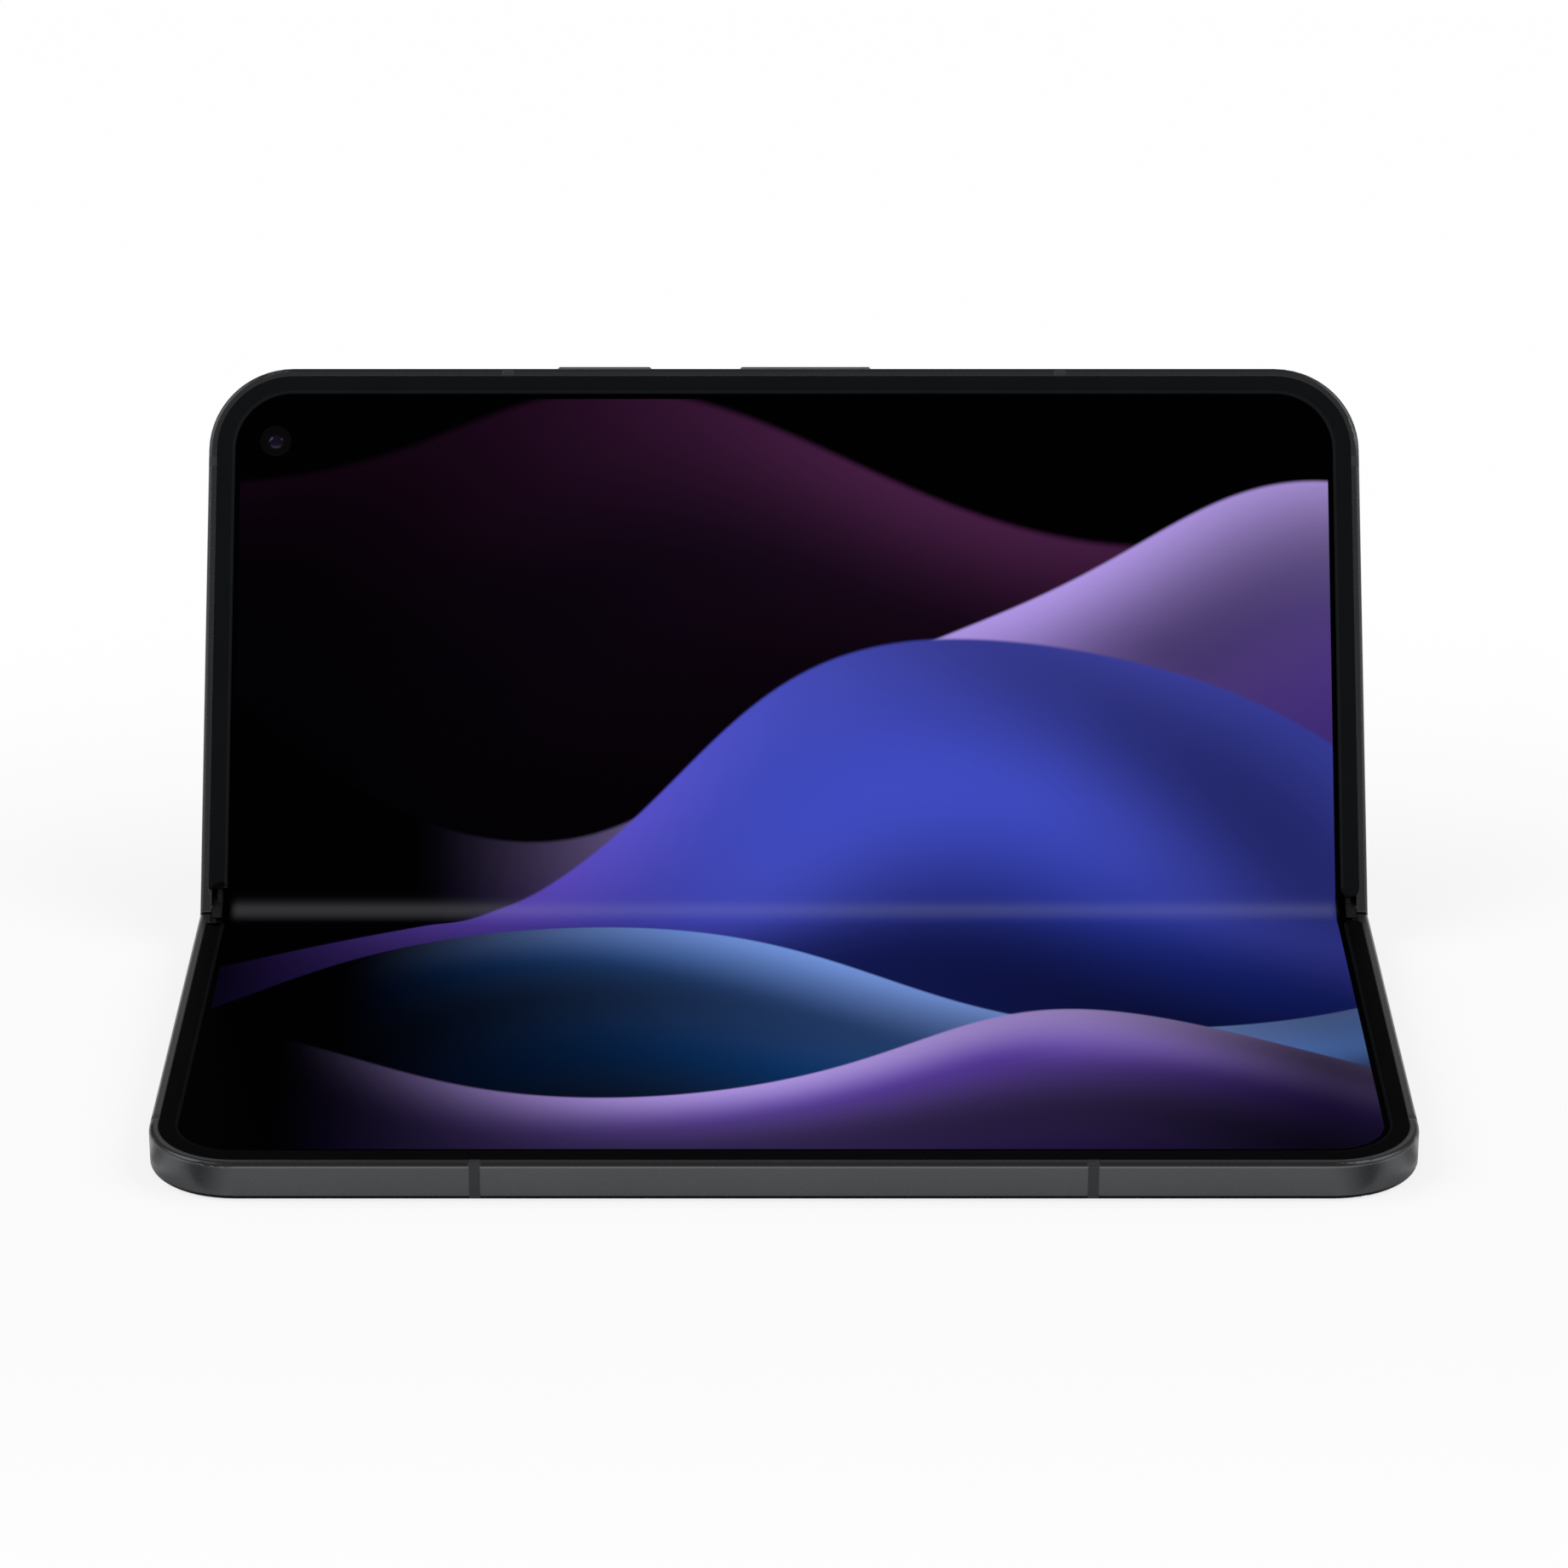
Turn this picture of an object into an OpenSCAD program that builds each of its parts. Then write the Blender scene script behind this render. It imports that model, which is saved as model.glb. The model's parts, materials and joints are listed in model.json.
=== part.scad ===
// Foldable smartphone that opens like a book, half open and standing on its
// cover-display half. Millimetres. +X runs along the hinge, -Y towards the viewer, +Z up.
//
// Each half is modelled flat, in half coordinates: x along the hinge, y outward from the
// hinge's centre line, z = 0 on the inner face and z = -half_t on the outer face.
// The spine is modelled in the same frame with the phone flat. place_base(), place_spine()
// and place_lid() fold the three to the open angle.

/* [Body] */
// Length along the hinge
body_len = 155.2; // [152:0.1:160]
// Width of one half, from the hinge's centre line to the outer edge
half_w = 75.1; // [73:0.1:79]
// Thickness of one half
half_t = 5.1; // [5:0.05:5.5]
// Radius of the outer corners seen from the front
corner_r = 11.3; // [9:0.1:13]
// Rounding of the frames' outer edges
edge_r = 0.6; // [0.3:0.05:0.8]
// Wall of the aluminium frames
wall_t = 1.9; // [1.7:0.05:2.1]
// Thickness of the frames' mid plates
mid_t = 0.5; // [0.4:0.05:0.55]

/* [Hinge] */
// Angle between the halves: 0 is shut and 180 is flat
open_angle = 122.7; // [100:0.1:150]
// Distance of each fold axis from the centre line
axis_off = 1.4; // [1.34:0.02:1.46]
// Depth of each fold axis below the inner face
axis_depth = 1.25; // [1.17:0.02:1.27]
// Wall of the spine cover
spine_wall = 0.5; // [0.4:0.02:0.54]
// Radius of the fold pins
pin_r = 0.38; // [0.34:0.01:0.4]
// Running clearance round pins and beads
run_clear = 0.03; // [0.02:0.01:0.05]
// Width of one rail bracket
bracket_w = 9; // [7:0.5:11]
// Distance of the outer hinge modules from the middle
module_x = 52; // [48:1:56]
// Tilt of the wing plates when the phone is shut
wing_tilt = 6.5; // [4:0.5:6.5]
// Radius of the display where it bends at the open angle
fold_r = 4.2; // [3.6:0.1:4.4]

/* [Gears] */
// Module of the synchronising gears
gear_m = 0.19; // [0.186:0.002:0.192]
// Teeth on each synchronising gear
gear_teeth = 9; // [9:1:9]
// Width of the gears
gear_w = 0.7; // [0.6:0.05:0.75]

/* [Inner display] */
// Width of the metal rim round the bezel
rim_w = 1.15; // [1:0.05:1.3]
// Width of the raised plastic bezel
bezel_w = 2.45; // [2.3:0.05:2.8]
// Depth of the seat that holds the bezel
bezel_seat = 0.55; // [0.5:0.05:0.6]
// How far the display lies below the bezel
display_sink = 0.25; // [0.2:0.01:0.28]
// Thickness of the flexible panel
panel_t = 0.45; // [0.38:0.01:0.48]
// Thickness of the steel plates under the panel
plate_t = 0.25; // [0.2:0.01:0.3]
// Distance of the inner camera from the top end
inner_cam_x = 9.0; // [8.5:0.1:10]
// Distance of the inner camera from the long edge
inner_cam_y = 10.1; // [9.6:0.1:11]
// Radius of the hole for the inner camera
inner_cam_r = 2.3; // [1.9:0.1:2.5]

/* [Outer faces] */
// Thickness of the back glass and of the cover glass
glass_t = 0.7; // [0.5:0.05:0.8]
// Metal left visible round the outer glass
glass_inset = 0.95; // [0.8:0.05:1.1]
// Metal strip along the hinge on the outer faces
hinge_strip = 6.0; // [5.6:0.1:6.6]
// Thickness of the cover display panel
cover_panel_t = 0.7; // [0.5:0.05:0.8]

/* [Rear cameras] */
// Distance between neighbouring lenses
lens_pitch = 13.5; // [12.5:0.1:14]
// Width of the camera island
island_w = 18; // [16:0.5:19]
// How far the island stands out of the back
island_h = 1.5; // [1:0.1:2.5]
// Radius of the lens glasses
lens_r = 5.2; // [4.6:0.1:5.5]
// Distance of the island from the long edge
island_edge = 6.5; // [6:0.5:8]
// Distance of the island from the top end
island_end = 9.5; // [9:0.5:11]

/* [Buttons and tray] */
// Length of the power button
power_len = 14.6; // [12:0.1:15]
// Distance of the power button's middle from the top end
power_end = 53.3; // [51.6:0.1:55.6]
// Length of the volume rocker
volume_len = 19.6; // [17:0.1:21]
// Distance of the volume rocker's middle from the top end
volume_end = 80.5; // [77.6:0.1:83.6]
// Width of both buttons
button_w = 2.0; // [1.6:0.05:2.05]
// How far the buttons stand out
button_out = 0.5; // [0.3:0.05:0.7]
// Travel of the power button
button_travel = 0.25; // [0.15:0.01:0.25]
// Width of the SIM tray's face
tray_face_w = 17; // [16:0.5:19]
// Middle of the SIM tray across the half
tray_y = 38; // [37:0.5:42]

/* [Hidden] */
$fn = 64;
eps = 0.01;
cut = 20;       // longer than any cut through the thickness needs
far = 300;      // longer than the whole phone
slip = 0.05;    // gap between flat parts that pass or face each other
seat = 0.02;    // gap between a block and the round wall that it is seated in

// Levels below the inner face
rim_top = -0.1;
panel_top = -display_sink;
panel_bot = panel_top - panel_t;
mid_top = panel_bot - plate_t;
mid_bot = mid_top - mid_t;
glass_proud = 0.1;
frame_bot = -half_t + glass_proud;
glass_top = -half_t + glass_t;
cover_bot = glass_top + cover_panel_t;
lip_t = 0.4;
lip_top = frame_bot + lip_t;
side_z = (frame_bot + rim_top) / 2;

// Spine and fold axes
fold_turn = (180 - open_angle) / 2;
half_gap = 0.05;
spine_r = -axis_depth - lip_top - slip;
spine_in_r = spine_r - spine_wall;
spine_top = -1.5;
knuckle_r = axis_off - half_gap;
trough_y = axis_off + spine_r + 0.25;
hinge_wall = 2.2;
cavity_y = trough_y + hinge_wall;

// Layers along X at each end of the hinge, inward from the side wall
end_wall = 1.5;
cap_t = 0.6;
cap_x1 = body_len / 2 - end_wall - 2 * slip;
cap_x0 = cap_x1 - cap_t;
gear_x1 = cap_x0 - slip;
gear_x0 = gear_x1 - gear_w;
display_inset = body_len / 2 - gear_x0 + slip;
display_x = body_len / 2 - display_inset;
pin_depth = 0.8;

// Wing plates
wing_axis_y = 9;
wing_y0 = 2.3;
wing_t = 0.3;
wing_x = display_x - 0.6;
wing_top = panel_bot - 0.02;
bead_r = 0.35;
bead_z = wing_top - bead_r;
wing_floor = bead_z - (wing_axis_y - wing_y0) * sin(wing_tilt) - 0.1;
recess_y = wing_axis_y + bead_r + slip;
wing_rest = wing_tilt * fold_turn / 90;

// Rail brackets, which hold each half on its fold axis
rail_in_r = 1.95;
rail_out_r = spine_in_r - slip;
arm_top = wing_floor - 0.1;
arm_bot = arm_top - 0.6;
foot_y = cavity_y - 0.15;
foot_screw_y = trough_y + hinge_wall / 2;
guide_top = -2.3;
module_gap = 1;
modules = [-module_x, 0, module_x];

// Gears
pitch_r = gear_m * gear_teeth / 2;
tip_r = pitch_r + 0.8 * gear_m;
root_r = pitch_r - 1.15 * gear_m;
tooth_step = 360 / gear_teeth;
post_r = 0.28;
arm_half = 0.45;
idler_z = -axis_depth - sqrt(pow(2 * pitch_r, 2) - pow(axis_off - pitch_r, 2));
mesh_angle = atan2(idler_z + axis_depth, axis_off - pitch_r);
phase_base = mesh_angle;
phase_a = 2 * mesh_angle + 180 + tooth_step / 2 - phase_base;
phase_b = 180 + tooth_step / 2 - phase_a;
phase_lid = -2 * mesh_angle + 180 + tooth_step / 2 - phase_b;

// Display fold
fold_y = 4.2;
sheet_rise = axis_depth - display_sink;

// Flex cables
flex_x = module_x / 2;
flex_w = 16;
flex_t = 0.15;
flex_y = 8;
flex_r = 3.2;
flex_leg = 1.2;

// Bezel ends at the hinge
bezel_y0 = 2.6;
bezel_end_r = bezel_w / 2;
bezel_end_x = body_len / 2 - rim_w - bezel_end_r;

// Places on the halves
wall_y = half_w - wall_t;
wall_x = body_len / 2 - wall_t;
island_x = -body_len / 2 + island_end + lens_pitch + island_w / 2;
island_y = half_w - island_edge - island_w / 2;
island_face = -half_t - island_h;
lens_places = [for (i = [-1 : 1]) island_x + i * lens_pitch];
camera_box = 5.2;
flash_y = island_y - island_w / 2 - 5;
flash_r = 2.4;
cam_x = -body_len / 2 + inner_cam_x;
cam_y = half_w - inner_cam_y;
cam_box = 2.6;
cover_cam_x = -body_len / 2 + 8.5;
cover_cam_y = half_w - 34.1;
usb_y = half_w / 2;
usb_w = 9.0;
usb_h = 3.0;
usb_len = 7.5;
usb_face = 0.3;
band_w = 1.3;
band_end = 40.3;
band_x = body_len / 2 - band_end;
band_edge = 13;
band_y = half_w - band_edge;
speaker_slots = 5;
slot_pitch = 2.6;
base_sound_y = 20;
lid_sound_y = wall_y - 18.6;
lid_mic_y = 30;
mic_r = 0.45;

// Boards, batteries and screws
fit = 0.1;
board_t = 0.8;
board_bot = mid_bot - board_t;
board_end = wall_x - 2;
board_y0 = recess_y + mid_t + 1;
board_y1 = wall_y - 2.2;
corner_x = body_len / 2 - corner_r;
corner_y = half_w - corner_r;
can_t = 1.5;
coil_t = 0.3;
coil_band = 14;
coil_margin = 5;
battery_bot = glass_top + coil_t;
battery_y1 = wall_y - 4.2;
base_top_strip = 33.7;
base_end_strip = 31.7;
lid_end_strip = 29.7;
camera_gap = 2.9;
base_battery_x = [base_top_strip - wall_x, wall_x - base_end_strip];
lid_battery_x = [island_x + lens_pitch + camera_box + camera_gap, wall_x - lid_end_strip];
coil_x = (lid_battery_x[0] + lid_battery_x[1]) / 2;
coil_y = (board_y0 + battery_y1) / 2;
coil_r = (battery_y1 - board_y0) / 2 - coil_margin;
base_board_x1 = base_battery_x[0] - 2;
main_board_x1 = lid_battery_x[0] - 2;
cans = [[9.7 - wall_x, island_x + 3.6, board_y0 + 5, flash_y - 7.6],
        [island_x + 5.6, main_board_x1 - 2, board_y0 + 7, island_y - 15.6]];
usb_board_x0 = lid_battery_x[1] + 3;
speaker_x0 = lid_battery_x[1] + 4;
speaker_half = 8;
motor_x0 = base_battery_x[1] + 2;
motor_w = 10;
motor_len = 18;
motor_y = battery_y1 - motor_len / 2;
earpiece_x1 = 8.7 - wall_x;
screw_r = 0.45;
screw_grip = 1.4;
head_r = 0.9;
head_t = 0.4;
screw_y = board_y0 + 2;
earpiece_y0 = screw_y + head_r + 3.2;
earpiece_y1 = cover_cam_y - cam_box - 5.4;
end_screw_x = board_end - 3;
base_screw_places = [[-end_screw_x, screw_y], [base_board_x1 - 3, screw_y],
                     [base_board_x1 - 3, board_y1 - 3]];
lid_screw_places = [[-end_screw_x, screw_y], [main_board_x1 - 2, screw_y], [-end_screw_x, island_y - 11.6],
                    [usb_board_x0 + 3, screw_y], [usb_board_x0 + 17, screw_y]];
magnet_len = 12;
magnet_end = 4.3;
magnet_gap = 4;

// SIM tray and card
tray_face_h = 2.2;
tray_t = 0.9;
tray_len = 14;
tray_w = 15;
tray_wall = 0.8;
reader_wall = 0.9;
tray_x0 = wall_x - tray_len;
card_len = 12.3;
card_w = 8.8;
card_t = 0.67;
eject_y = tray_y + tray_face_w / 2 - 1.8;

// Buttons
power_x = power_end - body_len / 2;
volume_x = volume_end - body_len / 2;
magnet_places = [volume_x + volume_len / 2 + magnet_gap + magnet_len / 2,
                 corner_x - magnet_end - magnet_len / 2];
button_bevel = 1.2;
flange_t = 0.5;
flange_more = 1.4;
rocker_gap = 0.3;
rocker_pin_r = 0.4;
rocker_axis_y = wall_y - rocker_gap - flange_t;
origin_y = half_w / 2;

black = [0.09, 0.09, 0.1];
graphite = [0.28, 0.285, 0.29];
steel = [0.6, 0.6, 0.62];
gold = [0.8, 0.65, 0.3];
green = [0.1, 0.3, 0.2];
silver = [0.45, 0.45, 0.47];

// ---------------------------------------------------------------- placing

// Turns its children about a line along X through y and z
module turn(y, z, angle) {
    translate([0, y, z]) rotate([angle, 0, 0]) translate([0, -y, -z]) children();
}

module place_base() {
    translate([0, origin_y, half_t]) mirror([0, 1, 0]) children();
}

module place_spine() {
    translate([0, origin_y, half_t]) turn(-axis_off, -axis_depth, fold_turn) children();
}

module place_lid() {
    place_spine() turn(axis_off, -axis_depth, fold_turn) children();
}

// Tilts a wing plate about its bead to suit the open angle
module place_wing() {
    turn(wing_axis_y, bead_z, wing_rest) children();
}

module both_ends() {
    children();
    mirror([1, 0, 0]) children();
}

// Places of the rail brackets: side is -1 for those of the base and 1 for those of the lid
module bracket_places(side) {
    for (m = modules) translate([m + side * (bracket_w + module_gap) / 2, 0, 0]) children();
}

module flex_places() {
    for (s = [-1, 1]) translate([s * flex_x, 0, 0]) children();
}

// ---------------------------------------------------------------- shapes

// Extrudes a 2D shape, drawn in Y and Z, from x0 to x1
module along_x(x0, x1) {
    translate([x0, 0, 0]) rotate([90, 0, 90]) linear_extrude(x1 - x0) children();
}

// Extrudes a 2D shape, drawn in X and Z, from y0 to y1
module along_y(y0, y1) {
    translate([0, y1, 0]) rotate([90, 0, 0]) linear_extrude(y1 - y0) children();
}

module box(x0, x1, y0, y1, z0, z1) {
    translate([x0, y0, z0]) cube([x1 - x0, y1 - y0, z1 - z0]);
}

module ring(r_out, r_in) {
    difference() {
        circle(r_out);
        circle(r_in);
    }
}

// A bar with round ends, centred on the origin
module pill(length, width) {
    square([length - width, width], center = true);
    for (s = [-1, 1]) translate([s * (length - width) / 2, 0]) circle(width / 2);
}

// Outline of a half, drawn in by inset and starting y0 from the hinge's centre line
module half_outline(inset, y0) {
    r = corner_r - inset;
    hx = body_len / 2 - inset;
    hy = half_w - inset;
    translate([-hx, y0]) square([2 * hx, hy - r - y0]);
    translate([r - hx, y0]) square([2 * (hx - r), hy - y0]);
    for (s = [-1, 1]) translate([s * (hx - r), hy - r]) circle(r);
}

module half_plate(inset, y0, z0, z1) {
    translate([0, 0, z0]) linear_extrude(z1 - z0) half_outline(inset, y0);
}

// Section through a rounded edge: x runs outward from the corner's centre
module edge_section() {
    translate([0, frame_bot]) square([corner_r - edge_r, rim_top - frame_bot]);
    translate([0, frame_bot + edge_r]) square([corner_r, rim_top - frame_bot - 2 * edge_r]);
    for (z = [frame_bot + edge_r, rim_top - edge_r]) translate([corner_r - edge_r, z]) circle(edge_r);
}

// A half's solid shape with its three outer edges rounded above and below
module rounded_half() {
    hx = body_len / 2 - corner_r;
    hy = half_w - corner_r;
    box(-hx, hx, half_gap, hy, frame_bot, rim_top);
    translate([0, hy, 0]) along_x(-hx, hx) edge_section();
    both_ends() {
        translate([hx, 0, 0]) along_y(half_gap, hy) edge_section();
        translate([hx, hy, 0]) rotate_extrude(angle = 90) edge_section();
    }
}

// ---------------------------------------------------------------- frames

// Blind bores for the outer ends of the fold pins
module pin_bores() {
    both_ends() translate([cap_x1, axis_off, -axis_depth]) rotate([0, 90, 0])
        cylinder(r = pin_r + run_clear, h = 2 * slip + pin_depth + eps);
}

// What a frame loses above its fold axis, so that the side walls roll past each other
module knuckle_cut() {
    difference() {
        box(-far, far, -cut, axis_off, -axis_depth, cut);
        along_x(-far, far) translate([axis_off, -axis_depth]) circle(knuckle_r);
    }
}

// Outline of the bezel with its round ends at the hinge, grown by more
module bezel_outline(more) {
    half_outline(rim_w - more, bezel_y0 + bezel_end_r);
    for (s = [-1, 1]) translate([s * bezel_end_x, bezel_y0 + bezel_end_r]) circle(bezel_end_r + more);
}

// Recess for a wing plate, with a saddle that carries its bead between the brackets
module wing_recess() {
    x = wing_x + 0.3;
    difference() {
        box(-x, x, -1, recess_y, wing_floor, cut);
        difference() {
            box(-x, x, wing_axis_y - bead_r, recess_y, wing_floor - 1, bead_z);
            along_x(-far, far) translate([wing_axis_y, bead_z]) circle(bead_r + run_clear);
        }
    }
}

// Room for the arms of the synchronising gears
module sync_arm_room() {
    both_ends() box(gear_x0 - slip, gear_x1 + slip, 0, foot_y + slip,
                    -axis_depth - arm_half - slip, cut);
}

module foot_rooms(side) {
    bracket_places(side) {
        box(-bracket_w / 2 - slip, bracket_w / 2 + slip, 0, foot_y + slip, arm_bot, cut);
        foot_screw_holes(arm_bot - screw_grip);
    }
}

module foot_screw_holes(z0) {
    for (s = [-1, 1]) translate([s * bracket_w / 4, foot_screw_y, z0]) cylinder(r = screw_r, h = cut);
}

module screw_holes(places) {
    for (p = places) translate([p[0], p[1], board_bot - eps])
        cylinder(r = screw_r, h = mid_top - slip - board_bot + eps);
}

// Slabs that split the frame's wall for the antennas
module band_slabs() {
    for (s = [-1, 1]) {
        translate([s * band_x, 0, 0]) box(-band_w / 2, band_w / 2, wall_y, half_w + 1, -cut, cut);
        translate([s * body_len / 2, band_y, 0]) box(-wall_t, wall_t, -band_w / 2, band_w / 2, -cut, cut);
    }
}

// Seats cut into both frames for the bezel, the display and the outer glass
module frame_seats() {
    translate([0, 0, -bezel_seat]) linear_extrude(cut) bezel_outline(0);
    half_plate(display_inset, -1, mid_top, cut);
    half_plate(glass_inset, hinge_strip, -cut, glass_top);
}

// The frame common to both halves; side is -1 for the base and 1 for the lid
module frame_blank(side, places) {
    difference() {
        rounded_half();
        frame_seats();
        half_plate(wall_t, recess_y + mid_t, glass_top - eps, mid_bot);
        half_plate(wall_t, cavity_y, glass_top - eps, wing_floor - mid_t);
        wing_recess();
        box(-cap_x1 - 2 * slip, cap_x1 + 2 * slip, -1, trough_y, lip_top, cut);
        sync_arm_room();
        foot_rooms(side);
        flex_places() box(-flex_w / 2 - 0.3, flex_w / 2 + 0.3, flex_y - 0.3, flex_y + 0.3, glass_top, cut);
        knuckle_cut();
        pin_bores();
        screw_holes(places);
        band_slabs();
    }
}

module antenna_bands() {
    color(black) intersection() {
        difference() {
            rounded_half();
            frame_seats();
        }
        band_slabs();
    }
}

// Slot with round ends through the bottom end's wall
module side_slot(y, length, width) {
    along_x(wall_x - 1, body_len) translate([y, side_z]) pill(length, width);
}

module side_hole(y) {
    along_x(wall_x - 1, body_len) translate([y, side_z]) circle(mic_r);
}

module sound_slots(y) {
    for (i = [0 : speaker_slots - 1])
        side_slot(y + (i - (speaker_slots - 1) / 2) * slot_pitch, 1.9, 1.1);
}

// Slot with round ends through the long outer edge
module edge_slot(x, length, width) {
    translate([x, 0, side_z]) along_y(wall_y - 1, half_w + 2) pill(length, width);
}

module base_frame() {
    color(graphite) difference() {
        frame_blank(-1, base_screw_places);
        sound_slots(base_sound_y);
        side_slot(tray_y, tray_face_w + fit, tray_face_h + fit);
        side_hole(tray_y + tray_face_w / 2 + 7);
    }
}

module lid_frame() {
    color(graphite) difference() {
        frame_blank(1, lid_screw_places);
        translate([cam_x, cam_y, mid_bot - eps]) cylinder(r = inner_cam_r, h = cut);
        edge_slot(power_x, power_len + fit, button_w + fit);
        edge_slot(volume_x, volume_len + 2 * fit, button_w + fit);
        along_x(body_len / 2 - usb_len - fit, body_len) translate([usb_y, side_z]) pill(usb_w, usb_h);
        sound_slots(lid_sound_y);
        side_hole(usb_y - 12);
        mirror([1, 0, 0]) side_hole(lid_mic_y);
    }
}

// ---------------------------------------------------------------- bezels and inner display

module bezel() {
    color(black) difference() {
        translate([0, 0, -bezel_seat]) linear_extrude(bezel_seat) bezel_outline(0);
        half_plate(rim_w + bezel_w, -1, -cut, cut);
        half_plate(display_inset, -1, -cut, panel_top + slip);
    }
}

module camera_hole() {
    translate([cam_x, cam_y, -cut]) cylinder(r = inner_cam_r, h = 2 * cut);
}

module display_panel() {
    half_plate(display_inset, fold_y, panel_bot, panel_top);
}

module display_plate() {
    half_plate(display_inset + fit, recess_y, mid_top, panel_bot);
}

// A point of the open lid in the spine's frame: y in half coordinates, rise above the fold axis
function on_lid(y, rise) = [
    axis_off + (y - axis_off) * cos(fold_turn) - rise * sin(fold_turn),
    -axis_depth + (y - axis_off) * sin(fold_turn) + rise * cos(fold_turn),
];

// Sheet that follows both halves and bends between them; its upper face lies rise above the
// axes, and its ends reach leg below that face
module folded_sheet(rise, r, thick, leg, y_end, x0, x1) {
    steps = 16;
    run = (axis_off - rise * sin(fold_turn)) / cos(fold_turn);
    centre_z = -axis_depth + rise * cos(fold_turn) - run * sin(fold_turn) + r / cos(fold_turn);
    turns = [for (i = [0 : steps]) fold_turn * (1 - 2 * i / steps)];
    ends = leg > thick
        ? [on_lid(y_end, rise), on_lid(y_end, rise - leg), on_lid(y_end - thick, rise - leg),
           on_lid(y_end - thick, rise - thick)]
        : [on_lid(y_end, rise), on_lid(y_end, rise - thick)];
    along_x(x0, x1) polygon(concat(
        [for (a = turns) [r * sin(a), centre_z - r * cos(a)]],
        [for (p = ends) [-p[0], p[1]]],
        [for (a = turns) [-(r + thick) * sin(a), centre_z - (r + thick) * cos(a)]],
        [for (i = [len(ends) - 1 : -1 : 0]) ends[i]]
    ));
}

module inner_display_fold() {
    color(black) folded_sheet(sheet_rise, fold_r, panel_t, panel_t, fold_y, -display_x, display_x);
}

module wing_plate() {
    color(steel) {
        box(-wing_x, wing_x, wing_y0, wing_axis_y, wing_top - wing_t, wing_top);
        along_x(-wing_x, wing_x) translate([wing_axis_y, bead_z]) circle(bead_r);
    }
}

// ---------------------------------------------------------------- hinge

// Section of the spine's trough: a round side about each fold axis and a flat floor
module trough_section(r) {
    for (s = [-1, 1]) translate([s * axis_off, -axis_depth]) circle(r);
    translate([-axis_off, -axis_depth - r]) square([2 * axis_off, r]);
}

module spine_cover() {
    color(graphite) difference() {
        along_x(-cap_x0, cap_x0) difference() {
            trough_section(spine_r);
            trough_section(spine_in_r);
            translate([-cut, spine_top]) square([2 * cut, cut]);
        }
        for (side = [-1, 1]) bracket_places(side)
            box(-bracket_w / 2 - slip, bracket_w / 2 + slip, side < 0 ? -cut : 0, side < 0 ? 0 : cut,
                arm_bot - slip, 0);
        both_ends() box(gear_x0 - slip, cap_x0 + eps, -cut, cut, -axis_depth - arm_half - slip, 0);
    }
}

module pin_places(r) {
    for (s = [-1, 1]) translate([gear_x0, s * axis_off, -axis_depth]) rotate([0, 90, 0])
        cylinder(r = r, h = cap_x1 + 2 * slip + pin_depth - slip - gear_x0);
}

module post_places(r) {
    for (s = [-1, 1]) translate([gear_x0, s * pitch_r, idler_z]) rotate([0, 90, 0])
        cylinder(r = r, h = cap_x1 - gear_x0);
}

// End caps: plates that carry the pins, with a roof over the gears
module spine_end_caps() {
    hub_top = -axis_depth + 0.62;
    roof_y = 0.85;
    roof_z = -0.5;
    color(graphite) both_ends() difference() {
        union() {
            along_x(cap_x0, cap_x1) intersection() {
                trough_section(spine_r);
                translate([-cut, hub_top - cut]) square([2 * cut, cut]);
            }
            box(cap_x0, cap_x1, -roof_y, roof_y, hub_top - eps, roof_z);
            box(gear_x0, cap_x1, -roof_y, roof_y, roof_z - 0.18, roof_z);
        }
        pin_places(pin_r);
        post_places(post_r);
    }
}

module hinge_pins() {
    color(steel) both_ends() {
        pin_places(pin_r);
        post_places(post_r);
    }
}

// Guide for a lid-side rail: a round inner shoe, and a block that stops the rail's end
module rail_guide() {
    shoe_y0 = -axis_off - 0.6;
    shoe_y1 = axis_off + 0.8;
    color(steel) along_x(-bracket_w / 2, bracket_w / 2) difference() {
        intersection() {
            trough_section(spine_in_r - seat);
            translate([shoe_y0, guide_top - cut]) square([shoe_y1 - shoe_y0, cut]);
        }
        translate([axis_off, -axis_depth]) difference() {
            polygon([[0, 0], [-cut, -cut], [cut, -cut], [cut, 0]]);
            circle(rail_in_r - run_clear);
        }
    }
}

// A lid-side bracket: a rail round the fold axis and an arm that is screwed to the frame
module rail_bracket() {
    rise = arm_top + axis_depth;
    rail_end = 50;
    color(steel) difference() {
        union() {
            along_x(-bracket_w / 2, bracket_w / 2) translate([axis_off, -axis_depth]) intersection() {
                ring(rail_out_r, rail_in_r);
                polygon([[0, 0], [-cut * cos(rail_end), -cut * sin(rail_end)], [-cut, -2 * cut],
                         [cut, -2 * cut], [cut, rise * cut / rail_in_r]]);
            }
            box(-bracket_w / 2, bracket_w / 2, axis_off + rail_in_r, foot_y, arm_bot, arm_top);
        }
        foot_screw_holes(-cut);
    }
}

// One gear, drawn in Y and Z, with a tooth at the angle phase
module gear_section(phase) {
    tip_half = 0.1 * tooth_step;
    pitch_half = 0.22 * tooth_step;
    root_half = 0.3 * tooth_step;
    flank = [[root_r, -root_half], [pitch_r, -pitch_half], [tip_r, -tip_half],
             [tip_r, tip_half], [pitch_r, pitch_half], [root_r, root_half]];
    polygon([for (i = [0 : gear_teeth - 1], f = flank)
        [f[0] * cos(phase + i * tooth_step + f[1]), f[0] * sin(phase + i * tooth_step + f[1])]]);
}

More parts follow.
